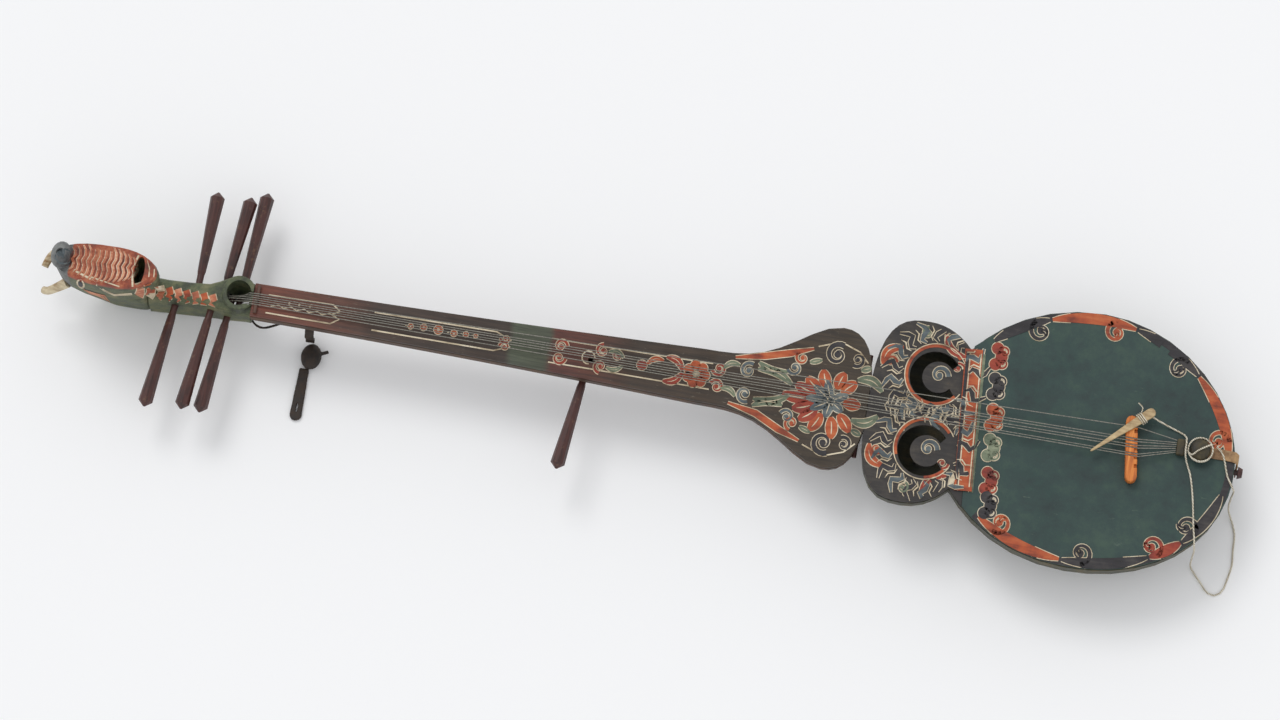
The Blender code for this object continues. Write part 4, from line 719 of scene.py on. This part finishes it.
BAND_LINE = ((712, 66), (722, -72))
# Lines beside the band's middle: offset along, colour and width
BAND_LINES = ((-5.5, "cream", 1.2), (-8, "black", 3.0), (5.5, "cream", 1.2), (8.5, "leaf", 3.0))


def round_hole(hole, wave, turn):
    """A wave's points round a sound hole, turned by an angle in degrees."""
    return [(hole[0] + reach * math.cos(math.radians(turn + more)),
             hole[1] + reach * math.sin(math.radians(turn + more))) for reach, more in wave]


def paint_waist():
    """Rings round the sound holes, waving stripes and the band of arcs on the middle."""
    for side, hole in zip(SIDES, SOUND_HOLES):
        COATS["orange"].stroke(arc(*hole, *HOLE_RING), HOLE_RING_WIDTH, "none")
        FINE.stroke(arc(*hole, *HOLE_LINE), HOLE_LINE_WIDTH, "none")
        for i in range(STRIPES):
            turn = STRIPE_START + i * STRIPE_TURN
            outlined("blue" if i % 2 else "black", round_hole(hole, STRIPE_WAVE, turn),
                     STRIPE_WIDTH)
            FINE.stroke(round_hole(hole, STRIPE_LINE_WAVE, turn), STRIPE_LINE_WIDTH)
        curl("blue", hole[0] + HOLE_CURL_OFFSET, hole[1], *HOLE_CURL)
        leaves(WAIST_LEAVES, side)
        curls(WAIST_CURLS, side)
    curls(WAIST_EDGE_CURLS)
    for i in range(WIDENING_ARCS):
        reach = WIDENING_REACH[0] + i * WIDENING_REACH[1]
        along = i * WIDENING_STEP
        line("cream", [(WIDENING_START + along, -reach), (WIDENING_BULGE + along, 0),
                       (WIDENING_START + along, reach)], WIDENING_WIDTH)
    for i in range(CHEVRONS):
        line("cream", moved(CHEVRON, i * CHEVRON_STEP), CHEVRON_WIDTH)
    for offset, colour, width in BAND_LINES:
        line(colour, moved(BAND_LINE, offset), width)


# Body, in metres
BODY_HALF_LENGTH = 0.136
BODY_HALF_WIDTH = 0.1185
TAIL_DROP = 0.0085          # how far the tail's end lies to the lower side
TAIL_DROP_POWER = 1.6
UNDER_INSET = 0.0045        # how far in from the rim the dark ground's middle lies
RIM_INSET = 0.0062          # the same for the coloured bands

# Body, in degrees round its rim and in steps
UNDER_START = 136
UNDER_TURN = 4
UNDER_POINTS = 68
UNDER_WIDTH = 7.0
CLOUDS = (("red", 733, 66), ("black", 735, 36), ("orange", 738, 5), ("leaf", 740, -25),
          ("red", 743, -58), ("black", 746, -82))
CLOUD_LOBES = ((0, -8), (5, 0), (0, 8))
CLOUD_LOBE_RADIUS = 6
CLOUD_CURLS = ((7, 5, 6, 180, -380), (7, -6, 6, 180, 380))     # from the cloud's middle
# Bands round the rim: colour, and the angles where each starts and ends
RIM_BANDS = (("black", 137, 112), ("orange", 111, 77), ("black", 76, 46), ("orange", 45, 6),
             ("black", -11, -40), ("red", -41, -56), ("black", -57, -92), ("orange", -93, -130))
RIM_BAND_STEPS = 14
RIM_BAND_WIDTH = 11
RIM_CURL_STEP = 11          # the point of a band that its curl springs from
RIM_CURL_INWARD = 9
RIM_CURL_RADIUS = 11
RIM_CURL_SWEEP = 400
RIM_LEAF_REACH = (11, 5)    # how far the leaf's tip lies inward of its curl, along and across
RIM_LEAF = (5, 0.3)         # width and bow


def rim_spot(angle, inset):
    """A place round the body's rim, in steps, from its angle at the middle in degrees."""
    turn = math.radians(angle)
    s = TAIL_STEPS + (BODY_HALF_LENGTH - inset) / STEP * math.cos(turn)
    drop = TAIL_DROP * max(math.cos(turn), 0.0) ** TAIL_DROP_POWER
    y = (BODY_HALF_WIDTH - inset) * math.sin(turn) - drop
    return s, y * TILT_SINE / STEP + middle_line(s)


def paint_body():
    """Cloud heads along the skin's straight edge and curled bands round its rim."""
    UNDER.stroke([rim_spot(UNDER_START - i * UNDER_TURN, UNDER_INSET)
                  for i in range(UNDER_POINTS)], UNDER_WIDTH, "none")
    for colour, s, t in CLOUDS:
        for lobe in moved(CLOUD_LOBES, s, t):
            button(colour, *lobe, CLOUD_LOBE_RADIUS)
        for along, up, *winding in CLOUD_CURLS:
            curl(colour, s + along, t + up, *winding)
    for colour, start, end in RIM_BANDS:
        points = [rim_spot(start + (end - start) * i / RIM_BAND_STEPS, RIM_INSET)
                  for i in range(RIM_BAND_STEPS + 1)]
        outlined(colour, points, RIM_BAND_WIDTH)
        s, t = points[RIM_CURL_STEP]
        length = math.hypot(TAIL_STEPS - s, -t)
        inward = ((TAIL_STEPS - s) / length, -t / length)
        place = (s + inward[0] * RIM_CURL_INWARD, t + inward[1] * RIM_CURL_INWARD)
        tip = (place[0] + inward[0] * RIM_LEAF_REACH[0], place[1] + inward[1] * RIM_LEAF_REACH[1])
        curl(colour, *place, RIM_CURL_RADIUS, math.degrees(math.atan2(t, s - TAIL_STEPS)),
             RIM_CURL_SWEEP)
        leaf(colour, place, tip, *RIM_LEAF)


# Head and pegbox
RIBS = 13
RIB_START = -194
RIB_STEP = 5.1
RIB_HALF = 7                # how far every rib reaches to either side
RIB_SWELL = 12              # what the widest rib reaches further
RIB_SWELL_START = 2         # how many ribs the swell is ahead of the first one
RIB_SWELL_LENGTH = 16       # how many ribs the whole swell would take
RIB_MIDDLE = 13
RIB_WIDTH = 3.0
RIB_LINE_OFFSET = -1.2
RIB_LINE_WIDTH = 0.6
# A rib's points: steps along, and a share of its reach across
RIB = ((-1, -1.0), (2.0, -0.7), (2.6, -0.35), (0.4, 0.0), (2.6, 0.35), (2.0, 0.7), (-1, 1.0))
HEAD_LINES = ((1.8, ((-129, 27), (-131, 20), (-129, 12), (-131, 4), (-129, -5))),
              (2.0, ((-190, 2), (-172, -4), (-158, -13), (-148, -16), (-130, -12))),
              (1.2, ((-172, -2), (-160, -4), (-142, -7))))
THROAT_ARC = ((-4, 24), (0, 16), (1, 8), (-4, -4))
THROAT_ARCS = (-116, -111)
THROAT_ARC_WIDTH = 1.2
EYE = (-182, -10.5)
EYE_WHITE = 4.4
EYE_BLACK = 2.6
BEARD_TUFTS = 6
TUFT = ((-180, -15), (-174, -18), (-166, -19))
TUFT_SPREAD = ((3, -0.5), (3, 0), (2, -1))      # how far each point moves from tuft to tuft
TUFT_WIDTH = 1.4
NOSE = (-202, 14, 8)
NOSTRIL_LINE = ((-208, 27), (-200, 29), (-192, 28))
NOSTRIL_WIDTH = 2.0
SCUTES = 9
SCUTE_START = -124
SCUTE_STEP = 9
SCUTE = ((0, -13), (2, -9), (2.5, -5), (0, 0))
SCUTE_RISE = 0.7            # how far the outer end draws in from scute to scute
SCUTE_WIDTH = 6.5


def paint_head():
    """Ribs of the palate, the eye, lips, tufts, and the scutes down the pegbox."""
    for i in range(RIBS):
        swell = min(1.0, (i + RIB_SWELL_START) / RIB_SWELL_LENGTH)
        half = RIB_HALF + RIB_SWELL * math.sin(math.pi * swell)
        rib = [(RIB_START + i * RIB_STEP + along, RIB_MIDDLE + share * half)
               for along, share in RIB]
        COATS["salmon"].stroke(rib, RIB_WIDTH)
        FINE.stroke(moved(rib, RIB_LINE_OFFSET), RIB_LINE_WIDTH)
    lines(HEAD_LINES)
    for s in THROAT_ARCS:
        COATS["cream"].stroke(moved(THROAT_ARC, s), THROAT_ARC_WIDTH)
    COATS["cream"].disc(*EYE, EYE_WHITE)
    COATS["black"].disc(*EYE, EYE_BLACK)
    for i in range(BEARD_TUFTS):
        tuft = [(s + along * i, t + up * i) for (s, t), (along, up) in zip(TUFT, TUFT_SPREAD)]
        COATS["salmon"].stroke(tuft, TUFT_WIDTH)
    COATS["blue"].disc(*NOSE)
    COATS["red"].stroke(NOSTRIL_LINE, NOSTRIL_WIDTH)
    for i in range(SCUTES):
        outer, *inner = moved(SCUTE, SCUTE_START + i * SCUTE_STEP)
        outlined("orange" if i % 2 else "salmon", [(outer[0], outer[1] + i * SCUTE_RISE), *inner],
                 SCUTE_WIDTH, "none")


# The loose cord, with the points of the part's source
CORD_POINTS = 78
CORD_SPAN_STEPS = 12
CORD_ROUTE = (
    (0.0560, 0.0285, FRONT + 0.0095), (0.0640, 0.0262, FRONT + 0.0062),
    (0.0730, 0.0238, FRONT + 0.0026), (0.0800, 0.0218, ON_SKIN + 0.0003),
    (0.0845, 0.0200, ON_SKIN + 0.0006), (0.0876, 0.0178, FRONT + 0.0048),
    (0.0891, 0.0142, FRONT + 0.0086), (0.0893, 0.0095, FRONT + 0.0090),
    (0.0893, 0.0040, FRONT + 0.0090), (0.0904, -0.0022, FRONT + 0.0074),
    (0.0935, -0.0088, FRONT + 0.0032), (0.0968, -0.0150, ON_SKIN + 0.0002),
    (0.1006, -0.0280, ON_SKIN), (0.1032, -0.0400, ON_SKIN), (0.1054, -0.0520, ON_SKIN),
    (0.1074, -0.0640, ON_SKIN), (0.1094, -0.0730, FRONT + 0.0020),
    (0.1101, -0.0778, FRONT + 0.0022), (0.1108, -0.0814, FRONT - 0.0002),
    (0.1115, -0.0830, FRONT - 0.0080), (0.1117, -0.0834, FRONT - 0.0250),
    (0.1122, -0.0836, 0.0200), (0.1130, -0.0840, 0.0075), (0.1150, -0.0860, ON_FLOOR + 0.0006),
    (0.1200, -0.0915, ON_FLOOR), (0.1255, -0.0975, ON_FLOOR), (0.1310, -0.1040, ON_FLOOR),
    (0.1385, -0.1060, ON_FLOOR), (0.1450, -0.1010, ON_FLOOR), (0.1478, -0.0900, ON_FLOOR),
    (0.1502, -0.0760, ON_FLOOR), (0.1490, -0.0610, ON_FLOOR), (0.1485, -0.0480, ON_FLOOR),
    (0.1446, -0.0370, ON_FLOOR + 0.0004), (0.1400, -0.0290, 0.0060), (0.1382, -0.0262, 0.0200),
    (0.1378, -0.0250, FRONT - 0.0250), (0.1382, -0.0240, FRONT - 0.0050),
    (0.1370, -0.0225, FRONT + 0.0016), (0.1336, -0.0180, FRONT + 0.0030),
    (0.1296, -0.0105, ON_SKIN + 0.0003), (0.1265, -0.0010, ON_SKIN + 0.0010),
    (0.1240, 0.0050, FRONT + 0.0040), (0.1205, 0.0100, FRONT + 0.0046),
    (0.1165, 0.0125, FRONT + 0.0058),
)


def smooth_route(points, count):
    """Evenly spaced points on a smooth curve through the given points."""
    knots = [Vector(point) for point in points]
    ends = [2 * knots[0] - knots[1], *knots, 2 * knots[-1] - knots[-2]]
    fine = []
    for a, b, c, d in zip(ends, ends[1:], ends[2:], ends[3:]):
        for step in range(CORD_SPAN_STEPS):
            k = step / CORD_SPAN_STEPS
            fine.append(0.5 * ((2 * b) + (c - a) * k + (2 * a - 5 * b + 4 * c - d) * k ** 2
                               + (3 * b - a - 3 * c + d) * k ** 3))
    fine.append(knots[-1])
    lengths = [0.0]
    for a, b in zip(fine, fine[1:]):
        lengths.append(lengths[-1] + (b - a).length)
    route = []
    place = 0
    for i in range(count):
        wanted = lengths[-1] * i / (count - 1)
        while place < len(fine) - 2 and lengths[place + 1] < wanted:
            place += 1
        span = lengths[place + 1] - lengths[place]
        route.append(fine[place].lerp(fine[place + 1], (wanted - lengths[place]) / span))
    return route


def cord_curve(name, points, radius, look):
    curve = bpy.data.curves.new(name, "CURVE")
    curve.dimensions = "3D"
    curve.bevel_depth = radius
    curve.bevel_resolution = 3
    curve.use_fill_caps = True
    spline = curve.splines.new("POLY")
    spline.points.add(len(points) - 1)
    for knot, point in zip(spline.points, points):
        knot.co = (*point, 1.0)
    obj = bpy.data.objects.new(name, curve)
    bpy.context.scene.collection.objects.link(obj)
    curve.materials.append(look)
    return obj


LEATHER_VOXEL = 0.0006      # how finely a soft piece's form is made over, in metres
COTTON_VOXEL = 0.00025
LUMP_SIZE = 0.006


def soften(node, finish, look, unevenness, voxel=LEATHER_VOXEL):
    """The node's own form in a soft stuff: its edges eased and its surface a little uneven."""
    obj = NODES[node].copy()
    obj.data = NODES[node].data.copy()
    obj.name = f"{node}_{finish}"
    obj.parent = None
    bpy.context.scene.collection.objects.link(obj)
    obj.data.materials.clear()
    obj.data.materials.append(look)
    even = obj.modifiers.new("even", "REMESH")
    even.mode = "VOXEL"
    even.voxel_size = voxel
    even.use_smooth_shade = True
    round_off = obj.modifiers.new("round_off", "SMOOTH")
    round_off.factor = 0.5
    round_off.iterations = 3
    lumps = bpy.data.textures.new(node + "_lumps", "CLOUDS")
    lumps.noise_scale = LUMP_SIZE
    uneven = obj.modifiers.new("uneven", "DISPLACE")
    uneven.texture = lumps
    uneven.strength = unevenness
    uneven.mid_level = 0.5
    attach(obj, ROOT)
    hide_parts(node)
    return obj


def wind_cord(node, look):
    """The node's own winding in twisted cotton."""
    return soften(node, "cotton", look, unevenness=0.0001, voxel=COTTON_VOXEL)


def make_camera():
    data = bpy.data.cameras.new("camera")
    data.lens = LENS
    data.sensor_width = SENSOR
    data.clip_end = FARTHEST_SEEN
    camera = bpy.data.objects.new("camera", data)
    bpy.context.scene.collection.objects.link(camera)
    camera.location = Vector(AIM) + AWAY * (VIEW_WIDTH * LENS / SENSOR)
    camera.rotation_euler = AWAY.to_track_quat("Z", "Y").to_euler()
    bpy.context.scene.camera = camera


def make_studio():
    """A pale floor, an even pale world and one soft lamp from the upper left."""
    mesh = bpy.data.meshes.new("floor")
    corners = [(x * FLOOR_REACH, y * FLOOR_REACH, 0)
               for x, y in ((-1, -1), (1, -1), (1, 1), (-1, 1))]
    mesh.from_pydata(corners, [], [(0, 1, 2, 3)])
    floor = bpy.data.objects.new("floor", mesh)
    bpy.context.scene.collection.objects.link(floor)
    look = Look("floor_paper", Base_Color=FLOOR_PALE, Roughness=0.9, Specular_IOR_Level=0.1)
    mesh.materials.append(look.material)
    world = bpy.data.worlds.new("studio")
    bpy.context.scene.world = world
    world.use_nodes = True
    back = world.node_tree.nodes["Background"]
    back.inputs["Color"].default_value = STUDIO_PALE
    back.inputs["Strength"].default_value = STUDIO_STRENGTH
    sun = bpy.data.lights.new("sun", "SUN")
    sun.energy = LAMP_STRENGTH
    sun.angle = LAMP_WIDTH
    lamp = bpy.data.objects.new("sun", sun)
    bpy.context.scene.collection.objects.link(lamp)
    lamp.rotation_euler = LAMP_TURN
    bpy.context.scene.view_settings.view_transform = "Standard"


make_camera()
COTTON = twisted_cotton()
cord_points = smooth_route(CORD_ROUTE, CORD_POINTS)
cord_length = sum((b - a).length for a, b in zip(cord_points, cord_points[1:]))
loose_cord = cord_curve("loose_cord", cord_points, CORD_RADIUS, COTTON)
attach(loose_cord, ROOT)
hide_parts("plectrum_cord")
lashing = wind_cord("plectrum_lashing", COTTON)
wind_cord("toggle_cord", COTTON)

DARK_LEATHER = leather("thong_leather", dark=linear(26, 20, 16), light=linear(62, 48, 38))
STRAP_HIDE = leather("strap_hide", dark=linear(120, 88, 56), light=linear(186, 150, 106))
for strap in ("thong_strap", "thong_knot", "thong_loop", "thong_lace"):
    soften(strap, "leather", DARK_LEATHER, unevenness=0.0006)
soften("tail_strap", "leather", STRAP_HIDE, unevenness=0.0002)

dress_node(painted_board(), "fingerboard")
dress_node(worn_paint("neck_back_paint", linear(48, 34, 26), linear(78, 56, 40),
                      linear(96, 74, 54)), "neck")
dress_node(worn_paint("bowl_paint", linear(40, 40, 32), linear(66, 66, 50), linear(96, 84, 58)),
           "body_bowl")
dress_node(worn_paint("plate_paint", linear(30, 28, 28), linear(50, 46, 44), linear(78, 72, 64)),
           "waist_plate")
dress_node(painted_skin(), "skin_head")
dress_node(PAINTS["orange"], "skin_band")
dress_node(carved_green("pegbox_paint", red_height=0.090), "pegbox")
dress_node(carved_green("head_paint", red_height=0.0985, snout_end=-0.9255), "makara_head")
dress_node(dark_grain("peg_wood", dark=linear(34, 20, 18), light=linear(78, 42, 36)),
           "peg_upper_1", "peg_upper_2", "peg_upper_3", "peg_lower_1", "peg_lower_2",
           "peg_lower_3", "drone_peg", "tail_pin", "joint_dowel")
dress_node(dark_grain("nut_wood", dark=linear(52, 32, 24), light=linear(104, 66, 46)), "nut")
dress_node(orange_wood(), "bridge")
dress_node(pale_bone("plectrum_bone", dark=linear(140, 112, 76), light=linear(206, 182, 138)),
           "plectrum")
dress_node(pale_bone("horn_ivory", dark=linear(130, 96, 54), light=linear(214, 200, 168)),
           "horn_upper", "horn_lower")
dress_node(gut_string(), "drone_string", *[f"string_{i}" for i in range(1, 7)])
dress_node(leather("toggle_leather", dark=linear(38, 34, 24), light=linear(84, 74, 48)),
           "tail_toggle", "string_holder")

paint_neck()
paint_flare()
paint_waist()
paint_body()
paint_head()
for colour, coat in COATS.items():
    coat.finish("ornament_" + colour)
FINE.finish("ornament_fine")
UNDER.finish("ornament_ground")

make_studio()
